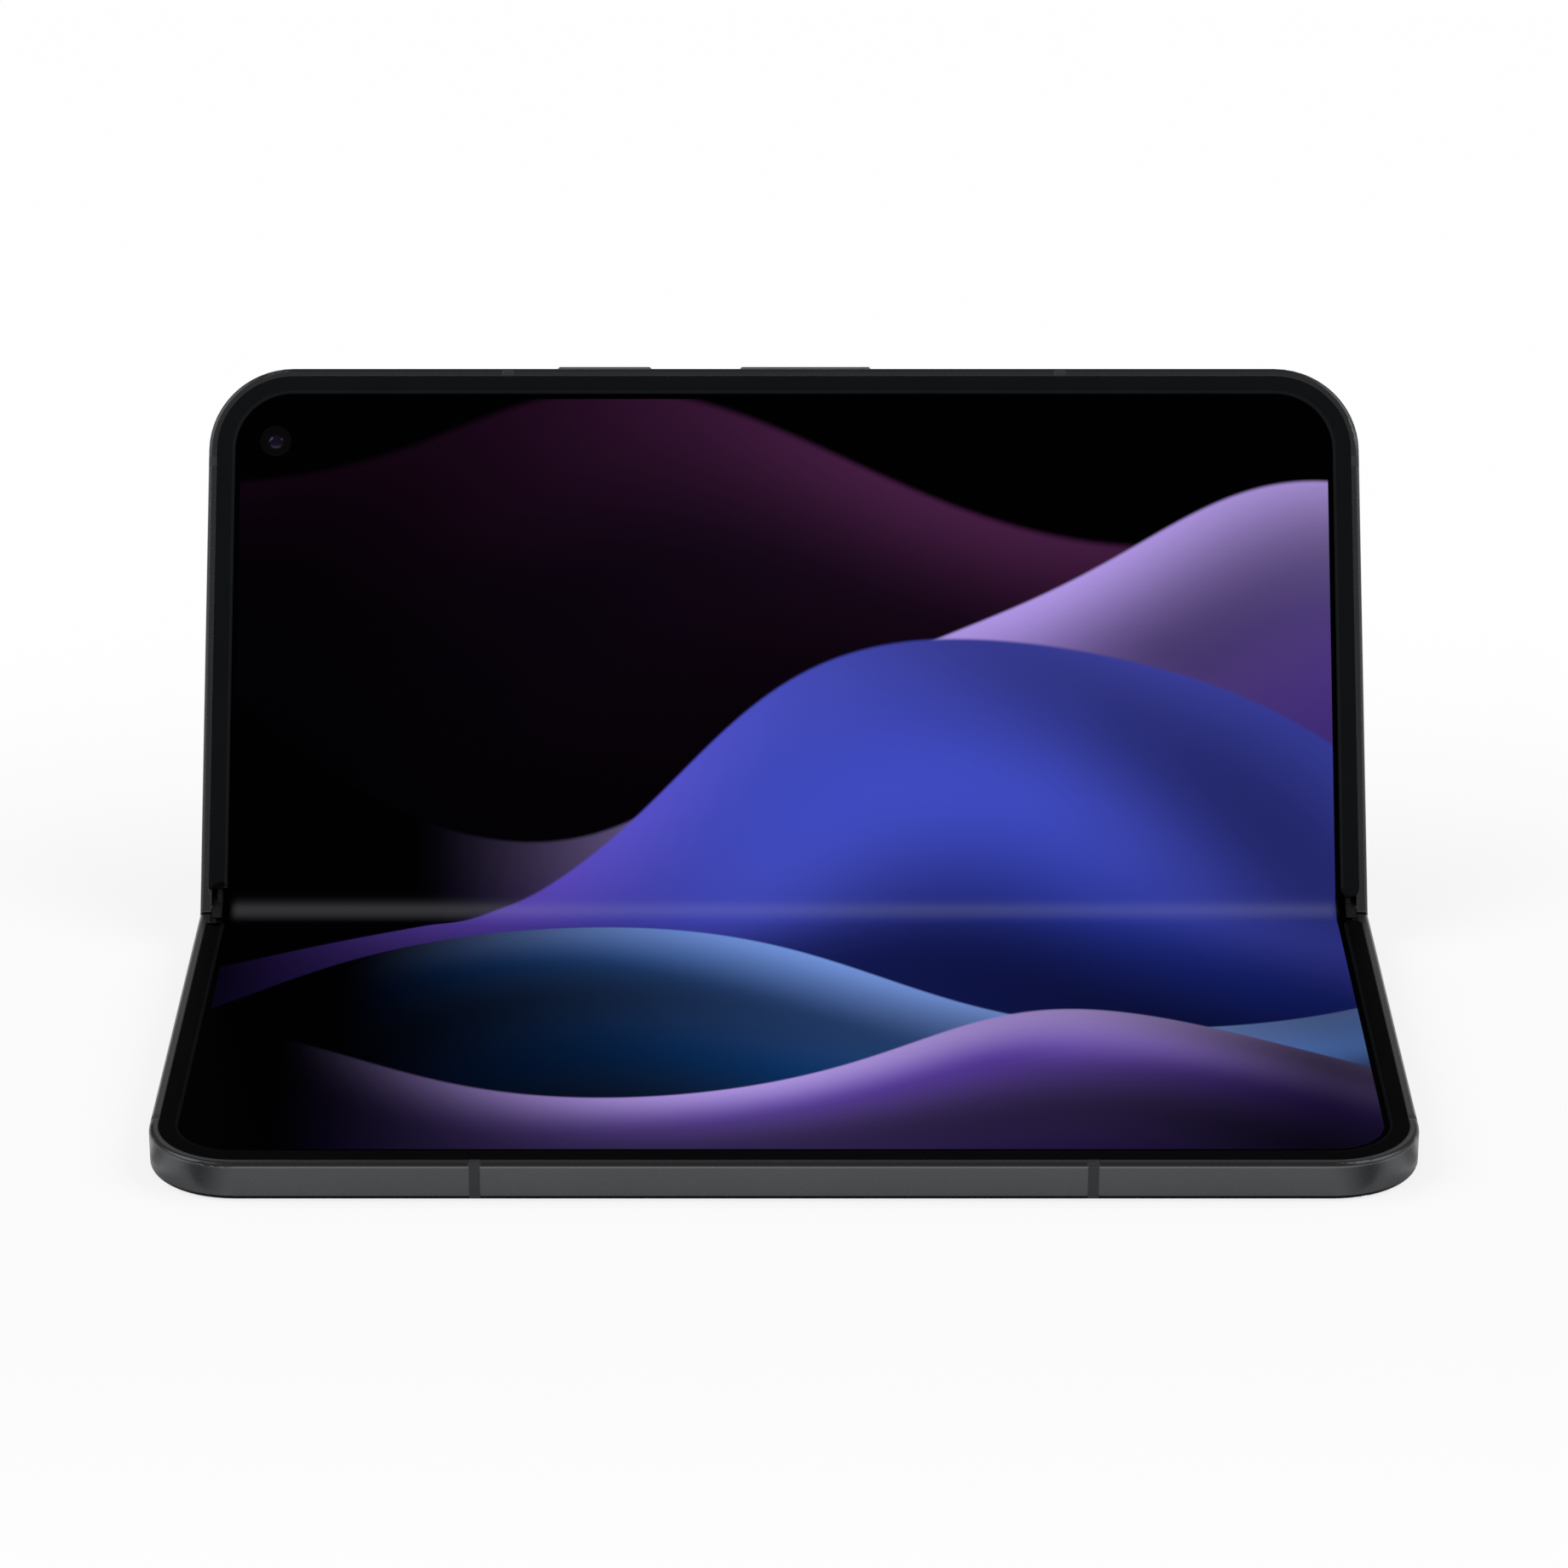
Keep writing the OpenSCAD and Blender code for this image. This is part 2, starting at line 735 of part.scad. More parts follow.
// A gear fixed to its half by an arm; phase is its angle in the half's own frame
module sync_arm(phase) {
    teeth_top = 0.5;
    color(steel) both_ends() along_x(gear_x0, gear_x1) translate([axis_off, -axis_depth]) difference() {
        union() {
            difference() {
                gear_section(phase);
                translate([-cut, teeth_top]) square([2 * cut, cut]);
            }
            translate([0, -arm_half]) square([foot_y - axis_off, 2 * arm_half]);
        }
        circle(pin_r + run_clear);
    }
}

module idler_gears(y, phase) {
    color(gold) both_ends() along_x(gear_x0, gear_x1) translate([y, idler_z]) difference() {
        gear_section(phase);
        circle(post_r + run_clear);
    }
}

// Two ribbons that cross the hinge, with legs that go down into the halves
module hinge_flex_cables() {
    color(gold) flex_places()
        folded_sheet(axis_depth + wing_floor + flex_t, flex_r, flex_t, flex_leg,
                     flex_y + flex_t / 2, -flex_w / 2, flex_w / 2);
}

// ---------------------------------------------------------------- outer faces

module outer_glass() {
    half_plate(glass_inset, hinge_strip, -half_t, glass_top);
}

module cover_display_panel() {
    color(black) difference() {
        half_plate(wall_t + 0.8, cavity_y + fit, glass_top, cover_bot);
        translate([cover_cam_x, cover_cam_y, -cut]) cylinder(r = 1.9, h = 2 * cut);
    }
}

module cover_camera() {
    color(black) translate([cover_cam_x, cover_cam_y, 0]) {
        translate([0, 0, glass_top]) cylinder(r = 1.8, h = cover_panel_t);
        box(-cam_box, cam_box, -cam_box, cam_box, cover_bot, mid_bot);
    }
}

module back_glass() {
    color(black) difference() {
        outer_glass();
        translate([island_x, island_y, -cut]) linear_extrude(2 * cut)
            pill(2 * lens_pitch + island_w + fit, island_w + fit);
        translate([island_x, flash_y, -cut]) cylinder(r = flash_r + slip, h = 2 * cut);
    }
}

module camera_island() {
    color(graphite) difference() {
        translate([island_x, island_y, island_face]) linear_extrude(glass_top - island_face)
            pill(2 * lens_pitch + island_w, island_w);
        for (x = lens_places) translate([x, island_y, 0]) {
            translate([0, 0, island_face - eps]) cylinder(r = lens_r + 0.6, h = 0.8 + eps);
            translate([0, 0, -cut]) cylinder(r = lens_r - 0.7, h = 2 * cut);
        }
    }
}

module rear_lens_rings() {
    color(silver) for (x = lens_places) translate([x, island_y, island_face - 0.25])
        linear_extrude(1.05) ring(lens_r + 0.6, lens_r);
}

module rear_lens_glasses() {
    color(black) for (x = lens_places) translate([x, island_y, island_face - 0.1])
        cylinder(r = lens_r, h = 0.9);
}

module rear_camera_modules() {
    color(black) for (x = lens_places) translate([x, island_y, 0]) {
        translate([0, 0, island_face + 0.8]) cylinder(r = lens_r - 0.8, h = glass_top - island_face - 0.8);
        box(-camera_box, camera_box, -camera_box, camera_box, glass_top, mid_bot);
    }
}

module flash_lens() {
    color("white") translate([island_x, flash_y, -half_t]) cylinder(r = flash_r, h = glass_t);
}

module flash_module() {
    color(gold) box(island_x - 2, island_x + 2, flash_y - 2, flash_y + 2, glass_top, board_bot);
}

// ---------------------------------------------------------------- inside the base

// Cuts a board back from the frame's rounded corner at the top end
module corner_cut() {
    box(-far, 4 - corner_x, corner_y, far, -cut, cut);
}

module square_cut(x, y, half) {
    box(x - half, x + half, y - half, y + half, -cut, cut);
}

module base_boards() {
    color(green) difference() {
        union() {
            difference() {
                box(-board_end, base_board_x1, board_y0, board_y1, board_bot, mid_bot);
                corner_cut();
                box(-far, earpiece_x1 + fit, earpiece_y0 - fit, earpiece_y1 + fit, -cut, cut);
                square_cut(cover_cam_x, cover_cam_y, cam_box + 0.4);
            }
            box(motor_x0 + motor_w + 1, board_end - 3, tray_y + tray_w / 2 + reader_wall + 1, battery_y1,
                board_bot, mid_bot);
        }
        screw_holes(base_screw_places);
    }
}

module base_battery() {
    color(silver) box(base_battery_x[0], base_battery_x[1], board_y0, board_y1, cover_bot + fit, mid_bot);
}

module earpiece_speaker() {
    color(black) box(-wall_x + fit, earpiece_x1, earpiece_y0, earpiece_y1, cover_bot + fit, mid_bot);
}

module base_speaker() {
    color(black) box(speaker_x0, wall_x - fit, base_sound_y - speaker_half, base_sound_y + speaker_half,
                     cover_bot + fit, mid_bot);
}

module vibration_motor() {
    color(silver) box(motor_x0, motor_x0 + motor_w, motor_y - motor_len / 2, motor_y + motor_len / 2,
                      cover_bot + fit, mid_bot);
}

module sim_reader() {
    x0 = tray_x0 - 1;
    half = tray_w / 2;
    color(silver) difference() {
        box(x0, wall_x - fit, tray_y - half - reader_wall, tray_y + half + reader_wall,
            side_z - tray_t / 2 - 0.35, mid_bot);
        box(x0 + 0.5, body_len, tray_y - half - slip, tray_y + half + slip,
            side_z - tray_t / 2 - slip, side_z + tray_t / 2 + slip);
    }
}

module sim_tray() {
    color(graphite) difference() {
        union() {
            box(tray_x0, wall_x + 0.3, tray_y - tray_w / 2, tray_y + tray_w / 2,
                side_z - tray_t / 2, side_z + tray_t / 2);
            along_x(wall_x + 0.3 - eps, body_len / 2 - slip) translate([tray_y, side_z])
                pill(tray_face_w, tray_face_h);
        }
        translate([tray_x0 + tray_wall, tray_y - card_w / 2, side_z + tray_t / 2 - card_t])
            cube([card_len, card_w, cut]);
        along_x(wall_x - 1, body_len) translate([eject_y, side_z]) circle(mic_r);
    }
}

module sim_card() {
    x0 = tray_x0 + tray_wall + slip;
    z0 = side_z + tray_t / 2 - card_t;
    color(gold) box(x0, x0 + card_len - 2 * slip, tray_y - card_w / 2 + slip, tray_y + card_w / 2 - slip,
                    z0, z0 + card_t - slip);
}

// ---------------------------------------------------------------- inside the lid

module lid_battery() {
    color(silver) box(lid_battery_x[0], lid_battery_x[1], board_y0, battery_y1, battery_bot, mid_bot);
}

module wireless_coil() {
    color(gold) translate([coil_x, coil_y, glass_top])
        linear_extrude(coil_t) ring(coil_r, coil_r - coil_band);
}

module main_board() {
    color(green) difference() {
        box(-board_end, main_board_x1, board_y0, board_y1, board_bot, mid_bot);
        for (x = lens_places) square_cut(x, island_y, camera_box + fit);
        square_cut(cam_x, cam_y, cam_box + 0.4);
        corner_cut();
        screw_holes(lid_screw_places);
    }
}

module shield_cans() {
    color(silver) for (c = cans) box(c[0], c[1], c[2], c[3], board_bot - can_t, board_bot);
}

module inner_camera() {
    color(black) translate([cam_x, cam_y, 0]) {
        translate([0, 0, mid_bot]) cylinder(r = inner_cam_r - 0.15, h = panel_top - 0.1 - mid_bot);
        box(-cam_box, cam_box, -cam_box, cam_box, mid_bot - 2, mid_bot);
    }
}

module usb_port() {
    x1 = body_len / 2 - usb_face;
    x0 = body_len / 2 - usb_len;
    tongue_w = 6.7;
    tongue_t = 0.7;
    color(silver) {
        difference() {
            along_x(x0, x1) translate([usb_y, side_z]) pill(usb_w - fit, usb_h - fit);
            along_x(x0 + 0.8, body_len) translate([usb_y, side_z]) pill(usb_w - 0.66, usb_h - 0.44);
        }
        box(x0 + 0.8 - eps, x1 - 0.9, usb_y - tongue_w / 2, usb_y + tongue_w / 2,
            side_z - tongue_t / 2, side_z + tongue_t / 2);
    }
}

module usb_board() {
    color(green) difference() {
        box(usb_board_x0, body_len / 2 - usb_len, board_y0, usb_y + 5, board_bot, mid_bot);
        screw_holes(lid_screw_places);
    }
}

module lid_speaker() {
    color(black) box(speaker_x0, board_end, lid_sound_y - speaker_half, lid_sound_y + speaker_half,
                     glass_top + fit, mid_bot);
}

module magnets() {
    color(steel) for (x = magnet_places)
        box(x - magnet_len / 2, x + magnet_len / 2, wall_y - 1.5, wall_y, mid_bot - 1.4, mid_bot);
}

// ---------------------------------------------------------------- buttons

// A side button: its body in the slot, a bevelled cap, and a flange behind the wall
module side_button(length, gap) {
    y0 = half_w - button_bevel / 2;
    y1 = half_w + button_out;
    along_y(wall_y - gap - eps, y0) pill(length, button_w);
    intersection() {
        along_y(y0 - eps, y1) pill(length, button_w);
        translate([0, 0, -button_w]) linear_extrude(2 * button_w)
            polygon([[-length / 2, y0 - 1], [-length / 2, y0], [button_bevel - length / 2, y1],
                     [length / 2 - button_bevel, y1], [length / 2, y0], [length / 2, y0 - 1]]);
    }
    along_y(wall_y - gap - flange_t, wall_y - gap) pill(length + flange_more, button_w);
}

module power_button() {
    color(graphite) translate([power_x, 0, side_z]) side_button(power_len, slip);
}

module volume_rocker() {
    color(graphite) translate([volume_x, 0, side_z]) {
        side_button(volume_len, rocker_gap);
        translate([0, rocker_axis_y, -0.6]) cylinder(r = rocker_pin_r, h = 1.2);
    }
}

// Switches hang from the mid plate behind the buttons
module switch_block(x0, x1, y0, y1) {
    box(x0, x1, y0, y1, side_z - button_w / 2, mid_bot);
}

module power_switch() {
    y1 = wall_y - slip - flange_t - button_travel - slip;
    color(gold) switch_block(power_x - 3, power_x + 3, y1 - 0.9, y1);
}

// Two switches and, between them, the saddle on which the rocker turns
module volume_switch() {
    y1 = rocker_axis_y - 0.3;
    spread = volume_len / 3;
    color(gold) difference() {
        union() {
            for (s = [-1, 1])
                switch_block(volume_x + s * spread - 2, volume_x + s * spread + 2, y1 - 0.9, y1);
            switch_block(volume_x - spread, volume_x + spread, y1 - 0.9, y1 - 0.5);
            switch_block(volume_x - 1, volume_x + 1, y1 - 0.9, rocker_axis_y - slip);
        }
        translate([volume_x, rocker_axis_y, -cut]) cylinder(r = rocker_pin_r + run_clear, h = 2 * cut);
    }
}

// ---------------------------------------------------------------- fasteners

module board_screws(places) {
    for (p = places) translate([p[0], p[1], board_bot - head_t]) {
        cylinder(r = head_r, h = head_t);
        cylinder(r = screw_r, h = mid_top - slip - board_bot + head_t);
    }
}

module foot_screws(side) {
    bracket_places(side) for (s = [-1, 1]) translate([s * bracket_w / 4, foot_screw_y, 0]) {
        translate([0, 0, arm_top]) cylinder(r = head_r, h = slip);
        translate([0, 0, arm_bot - screw_grip]) cylinder(r = screw_r, h = arm_top - arm_bot + screw_grip);
    }
}

module half_screws(side, places) {
    color(steel) {
        board_screws(places);
        foot_screws(side);
    }
}

// ---------------------------------------------------------------- drawing

place_base() base_frame();
place_base() antenna_bands();  // base_antenna_bands
place_base() bezel();  // base_bezel
place_base() color(black) display_panel();  // inner_display_base
place_base() color(steel) display_plate();  // display_plate_base
place_base() color(black) outer_glass();  // cover_glass
place_base() cover_display_panel();
place_base() cover_camera();
place_base() base_battery();
place_base() base_boards();
place_base() earpiece_speaker();
place_base() base_speaker();
place_base() vibration_motor();
place_base() sim_reader();
place_base() magnets();  // base_magnets
place_base() half_screws(-1, base_screw_places);  // base_screws
place_base() bracket_places(-1) rail_bracket();  // rail_brackets_base
place_base() sync_arm(180 - phase_base);  // sync_arms_base
place_lid() lid_frame();
place_lid() antenna_bands();  // lid_antenna_bands
place_lid() bezel();  // lid_bezel
place_lid() color(black) difference() {  // inner_display_lid
    display_panel();
    camera_hole();
}
place_lid() color(steel) difference() {  // display_plate_lid
    display_plate();
    camera_hole();
}
place_lid() back_glass();
place_lid() camera_island();
place_lid() rear_lens_rings();
place_lid() rear_lens_glasses();
place_lid() rear_camera_modules();
place_lid() flash_lens();
place_lid() flash_module();
place_lid() lid_battery();
place_lid() main_board();
place_lid() shield_cans();
place_lid() wireless_coil();
place_lid() inner_camera();
place_lid() usb_board();
place_lid() usb_port();
place_lid() lid_speaker();
place_lid() power_switch();
place_lid() volume_switch();
place_lid() magnets();  // lid_magnets
place_lid() half_screws(1, lid_screw_places);  // lid_screws
place_lid() bracket_places(1) rail_bracket();  // rail_brackets_lid
place_lid() sync_arm(phase_lid);  // sync_arms_lid
place_spine() spine_cover();
place_spine() spine_end_caps();
place_spine() hinge_pins();
place_spine() {  // rail_guides
    bracket_places(1) rail_guide();
    bracket_places(-1) mirror([0, 1, 0]) rail_guide();
}
place_spine() inner_display_fold();
place_spine() hinge_flex_cables();
place_base() place_wing() wing_plate();  // base_wing_plate
place_lid() place_wing() wing_plate();  // lid_wing_plate
place_spine() idler_gears(-pitch_r, phase_a + fold_turn);  // idler_gears_a
place_spine() idler_gears(pitch_r, phase_b - fold_turn);  // idler_gears_b
place_lid() power_button();
place_lid() volume_rocker();
place_base() sim_tray();
place_base() sim_card();
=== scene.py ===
import json
import math

import bmesh
import bpy
import numpy as np
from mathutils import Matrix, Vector


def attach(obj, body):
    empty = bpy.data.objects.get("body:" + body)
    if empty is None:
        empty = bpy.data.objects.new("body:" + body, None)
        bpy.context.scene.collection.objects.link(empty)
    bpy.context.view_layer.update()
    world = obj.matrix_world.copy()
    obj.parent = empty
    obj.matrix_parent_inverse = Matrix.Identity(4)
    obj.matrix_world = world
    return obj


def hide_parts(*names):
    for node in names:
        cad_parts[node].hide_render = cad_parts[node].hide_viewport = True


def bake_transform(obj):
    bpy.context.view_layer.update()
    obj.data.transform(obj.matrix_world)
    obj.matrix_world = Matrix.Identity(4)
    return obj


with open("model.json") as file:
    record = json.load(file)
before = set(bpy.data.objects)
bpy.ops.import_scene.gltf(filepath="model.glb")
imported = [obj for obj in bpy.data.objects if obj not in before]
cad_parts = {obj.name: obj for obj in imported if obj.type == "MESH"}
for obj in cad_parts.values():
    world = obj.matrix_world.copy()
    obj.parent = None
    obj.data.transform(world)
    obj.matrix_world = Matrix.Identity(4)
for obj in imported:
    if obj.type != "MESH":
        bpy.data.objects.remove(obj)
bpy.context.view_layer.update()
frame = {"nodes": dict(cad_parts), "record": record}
NODES = frame["nodes"]

# ---------------------------------------------------------------- sizes, in millimetres
MM = 0.001
LENGTH = 155.2          # along the hinge
HALF_W = 75.1           # of one half, from the centre line to its long edge
HALF_T = 5.1            # thickness of one half
CORNER_R = 11.3         # of a half's outline, at its long edge
AXIS_OFF = 1.4          # fold axes, from the centre line and below the inner face
AXIS_DEPTH = 1.25
PHI = math.radians(28.65)   # turn of each fold axis, from flat to rest
RIM_W = 1.15            # metal rim outside the bezel
BEZEL_W = 2.45
BEZEL_Y0 = 2.6          # where the bezels end, from the centre line
BEZEL_DEPTH = 0.55
DISPLAY_INSET = 3.0     # from the outline of the open phone
DISPLAY_TOP = -0.25     # from the inner face
DISPLAY_T = 0.42
LIT_X, LIT_Y, LIT_R = 73.3, 70.8, 6.9   # half sizes and corner radius of the lit area
BEND = 4.0              # the display bends between the centre line and here
FLEX_X, FLEX_W, FLEX_T = 26.0, 16.0, 0.1    # the two flex cables under the wing plates
FLEX_U = 8.0                    # where they turn down into a half
FLEX_LEG = 1.2                  # length of the stretch that runs down
FLEX_BEND = 2.4                 # they sag into the spine between the centre line and here
FLEX_TOP, FLEX_LOW = -1.87, -3.2    # their height under the wing plates and in the spine
CAM_X, CAM_U = -68.6, 65.0      # inner camera
CAM_HOLE_R = 2.25
CAM_BOX = 2.6                   # half width of its square body
MID_PLATE = -1.45               # underside of the plate that the inner camera passes
COVER_CAM_X, COVER_CAM_U = -69.1, 41.0
GLASS_INSET = 0.95              # outer glasses, from the outline
GLASS_T = 0.7
HINGE_STRIP = 6.0               # metal between the centre line and the outer glasses
LENS_XS = (-59.1, -45.6, -32.1)     # rear camera
LENS_R, RING_R = 5.2, 5.8
ISLAND_X, ISLAND_U = LENS_XS[1], 59.6
ISLAND_LEN, ISLAND_W, ISLAND_H = 45.0, 18.0, 1.5
LENS_SEAT = 0.7                     # height of the lenses' seat above the back
FLASH_U, FLASH_R = 45.6, 2.4


# x runs along the hinge. On a half, u is the distance from the centre line, and w the height above the
# inner face.
def turned(y, z, cy, cz, angle):
    """The point (y, z) turned about (cy, cz)."""
    c, s = np.cos(angle), np.sin(angle)
    return cy + (y - cy) * c - (z - cz) * s, cz + (y - cy) * s + (z - cz) * c


def row(x, y, z):
    """Hinge coordinates, from the centre line on the base's inner face, to the row frame in metres."""
    return np.stack(np.broadcast_arrays(x, HALF_W / 2 + y, HALF_T + z), -1) * MM


def on_spine(x, y, z):
    return row(x, *turned(y, z, -AXIS_OFF, -AXIS_DEPTH, PHI))


def on_base(x, u, w):
    return row(x, -u, w)


def on_lid(x, u, w):
    return on_spine(x, *turned(u, w, AXIS_OFF, -AXIS_DEPTH, PHI))


def on_back(x, u, h):
    """A place at height h above the lid's outer face."""
    return on_lid(x, u, -HALF_T - h)


# ---------------------------------------------------------------- node graphs
def lin(r, g, b):
    """An sRGB colour, 0 to 255, as the linear colour that the nodes take."""
    return tuple((c / 255 / 12.92) if c <= 10 else ((c / 255 + 0.055) / 1.055) ** 2.4 for c in (r, g, b))


class Val:
    """A node's output that can be added, multiplied and so on."""
    def __init__(self, graph, socket):
        self.graph = graph
        self.socket = socket

    def __add__(self, other):
        return self.graph.math("ADD", self, other)

    def __sub__(self, other):
        return self.graph.math("SUBTRACT", self, other)

    def __rsub__(self, other):
        return self.graph.math("SUBTRACT", other, self)

    def __mul__(self, other):
        return self.graph.math("MULTIPLY", self, other)

    def __truediv__(self, other):
        return self.graph.math("DIVIDE", self, other)

    def __neg__(self):
        return self.graph.math("MULTIPLY", self, -1.0)


class Graph:
    """A node tree. Inputs are numbers, tuples or outputs of other nodes."""
    def __init__(self, tree, output):
        self.tree = tree
        tree.nodes.clear()
        self.out = tree.nodes.new(output)
        self.place = None

    def put(self, socket, value):
        if isinstance(value, Val):
            self.tree.links.new(value.socket, socket)
        elif isinstance(value, (tuple, list)) and socket.type == "RGBA":
            socket.default_value = (*value[:3], 1.0)
        else:
            socket.default_value = value

    def node(self, kind, output=0, ins=None, **props):
        n = self.tree.nodes.new("ShaderNode" + kind)
        for k, v in props.items():
            setattr(n, k, v)
        for k, v in (ins or {}).items():
            self.put(n.inputs[k], v)
        return Val(self, n.outputs[output])

    def math(self, op, a, b=0.0, c=0.0):
        return self.node("Math", operation=op, ins={0: a, 1: b, 2: c})

    def biggest(self, a, b):
        return self.math("MAXIMUM", a, b)

    def size(self, a):
        return self.math("ABSOLUTE", a)

    def wave(self, a):
        return self.math("SINE", a)

    def far(self, first, *others):
        """Length of the vector with these parts."""
        total = first * first
        for part in others:
            total = total + part * part
        return self.math("SQRT", total)

    def smooth(self, a, b, v):
        return self.node("MapRange", interpolation_type="SMOOTHSTEP", ins={0: v, 1: a, 2: b, 3: 0.0, 4: 1.0})

    def span(self, v, a, b, to_a, to_b):
        return self.node("MapRange", ins={0: v, 1: a, 2: b, 3: to_a, 4: to_b})

    def mix(self, a, b, t):
        return self.node("Mix", 2, data_type="RGBA", ins={0: t, 6: a, 7: b})

    def coords(self):
        """Object coordinates in metres: a node's object sits at the origin and rides on its body."""
        if self.place is None:
            self.place = self.node("TexCoord", 3)
        return self.place

    def xyz(self, vector=None):
        n = self.tree.nodes.new("ShaderNodeSeparateXYZ")
        self.put(n.inputs[0], vector or self.coords())
        return [Val(self, s) for s in n.outputs]

    def vector(self, x, y, z):
        return self.node("CombineXYZ", ins={0: x, 1: y, 2: z})

    def scaled(self, x, y, z):
        return self.node("VectorMath", operation="MULTIPLY", ins={0: self.coords(), 1: (x, y, z)})

    def noise(self, scale, detail=2.0, rough=0.5, vector=None):
        return self.node("TexNoise", ins={"Vector": vector or self.coords(), "Scale": scale,
                                          "Detail": detail, "Roughness": rough})

    def cells(self, scale, output=0, **props):
        return self.node("TexVoronoi", output, ins={"Vector": self.coords(), "Scale": scale}, **props)

    def ramp(self, v, *stops):
        """A level that follows v from stop to stop; each stop is (v, level)."""
        level = self.node("ValToRGB", ins={0: v})
        elements = level.socket.node.color_ramp.elements
        for k, (place, value) in enumerate(stops):
            stop = elements[k] if k < 2 else elements.new(place)    # a new ramp has two stops
            stop.position = place
            stop.color = (value, value, value, 1)
        return level

    def bump(self, height, distance, strength, normal=None):
        ins = {"Height": height, "Distance": distance, "Strength": strength}
        if normal is not None:
            ins["Normal"] = normal
        return self.node("Bump", ins=ins)


class Finish(Graph):
    """A material with one Principled shader; keyword arguments are numbers on its sockets."""
    def __init__(self, name, **sockets):
        self.mat = bpy.data.materials.new(name)
        self.mat.use_nodes = True
        super().__init__(self.mat.node_tree, "ShaderNodeOutputMaterial")
        self.shader = self.tree.nodes.new("ShaderNodeBsdfPrincipled")
        self.tree.links.new(self.shader.outputs[0], self.out.inputs[0])
        for k, v in sockets.items():
            self.set(k.replace("_", " "), v)

    def set(self, name, value):
        self.put(self.shader.inputs[name], value)


# ---------------------------------------------------------------- finishes
WEAR_R = 0.00022        # how far the wear of a metal edge reaches, in metres


def shade(base, spread):
    """A colour made slightly darker and slightly lighter, for slow variation over a surface."""
    return tuple(c * (1 - spread) for c in base), tuple(c * (1 + spread) for c in base)


def anodised(name, colour, rough, up=None, tones=()):
    """Blasted, anodised aluminium: a fine grain and slow blotches, and edges lightened a little by wear.

    up is the direction that the flat of the part faces. tones say how light its edges are against its sides,
    as painted light
    set by which way the surface faces: a painted highlight on the line where a side begins to round over,
    painted shade on the rounding (lighter on the buttons), the flat painted lighter or darker, and a painted
    shadow on the lower rounding."""
    g = Finish(name, Metallic=0.92)
    fine = g.noise(5200.0, 3.0, 0.6)
    slow = g.noise(90.0, 3.0, 0.55)
    low, high = shade(lin(*colour), 0.07)
    rounded_edge = g.node("Bevel", samples=4, ins={"Radius": WEAR_R})
    dot = g.node("VectorMath", 1, operation="DOT_PRODUCT", ins={0: rounded_edge, 1: g.node("NewGeometry", 1)})
    edge = g.span(dot, 0.985, 0.86, 0.0, 0.22)
    tint = g.mix(low, high, slow)
    if up is not None:
        # painted light: the tones below paint a highlight, shade and a shadow by which way the surface faces
        rise = g.node("VectorMath", 1, operation="DOT_PRODUCT", ins={0: g.node("TexCoord", 1), 1: up})
        line = g.smooth(0.0, 0.08, rise) * (1 - g.smooth(0.2, 0.38, rise))
        upper = g.smooth(0.2, 0.42, rise)
        level = g.smooth(0.985, 0.999, rise)
        lower = g.smooth(0.0, 0.16, -rise) * (1 - g.smooth(0.985, 0.999, -rise))
        for tone, share in zip(tones, (line, upper, level, lower)):
            tint = g.mix(tint, lin(*(c * tone for c in colour)), share)
        edge = edge * (1 - g.biggest(upper, lower))
    g.set("Base Color", g.mix(tint, lin(*(min(255, c * 1.35) for c in colour)), edge))
    g.set("Roughness", g.span(fine * 0.6 + slow * 0.4, 0.3, 0.7, rough - 0.04, rough + 0.05))
    g.set("Normal", g.bump(fine, 0.000004, 0.5, rounded_edge))
    return g.mat


def machined(name, colour, along=(1.0, 60.0, 60.0), rough=0.3, metallic=1.0):
    """Machined or drawn metal: streaks along one axis."""
    g = Finish(name, Metallic=metallic)
    streak = g.noise(260.0, 4.0, 0.65, g.scaled(*along))
    fine = g.noise(3000.0, 2.0)
    low, high = shade(lin(*colour), 0.12)
    g.set("Base Color", g.mix(low, high, streak))
    g.set("Roughness", g.span(streak, 0.3, 0.7, rough - 0.07, rough + 0.1))
    g.set("Normal", g.bump(streak * 0.7 + fine * 0.3, 0.00001, 0.35))
    return g.mat


def plastic(name, colour, rough, grain=2600.0, specular=0.5, depth=0.000008):
    """Moulded plastic with a spark-eroded grain."""
    g = Finish(name, Specular_IOR_Level=specular)
    slow = g.noise(140.0, 3.0)
    low, high = shade(lin(*colour), 0.08)
    g.set("Base Color", g.mix(low, high, slow))
    g.set("Roughness", g.span(slow, 0.3, 0.7, rough - 0.05, rough + 0.05))
    g.set("Normal", g.bump(g.cells(grain), depth, 0.4))
    return g.mat


def glossy(name, colour, rough, haze_and_painted_highlight=0.0, specular=0.5):
    """Glass over a dark print, with faint smears in its gloss."""
    g = Finish(name, Specular_IOR_Level=specular)
    smear = g.noise(60.0, 4.0, 0.6, g.scaled(1.0, 2.4, 1.7))
    low, high = shade(lin(*colour), 0.05)
    g.set("Base Color", g.mix(low, high, smear))
    g.set("Roughness", g.span(smear, 0.35, 0.65, rough, rough + 0.05 + haze_and_painted_highlight * 0.1))
    g.set("Normal", g.bump(g.noise(4200.0, 2.0), 0.000002, 0.2 + haze_and_painted_highlight))
    return g.mat


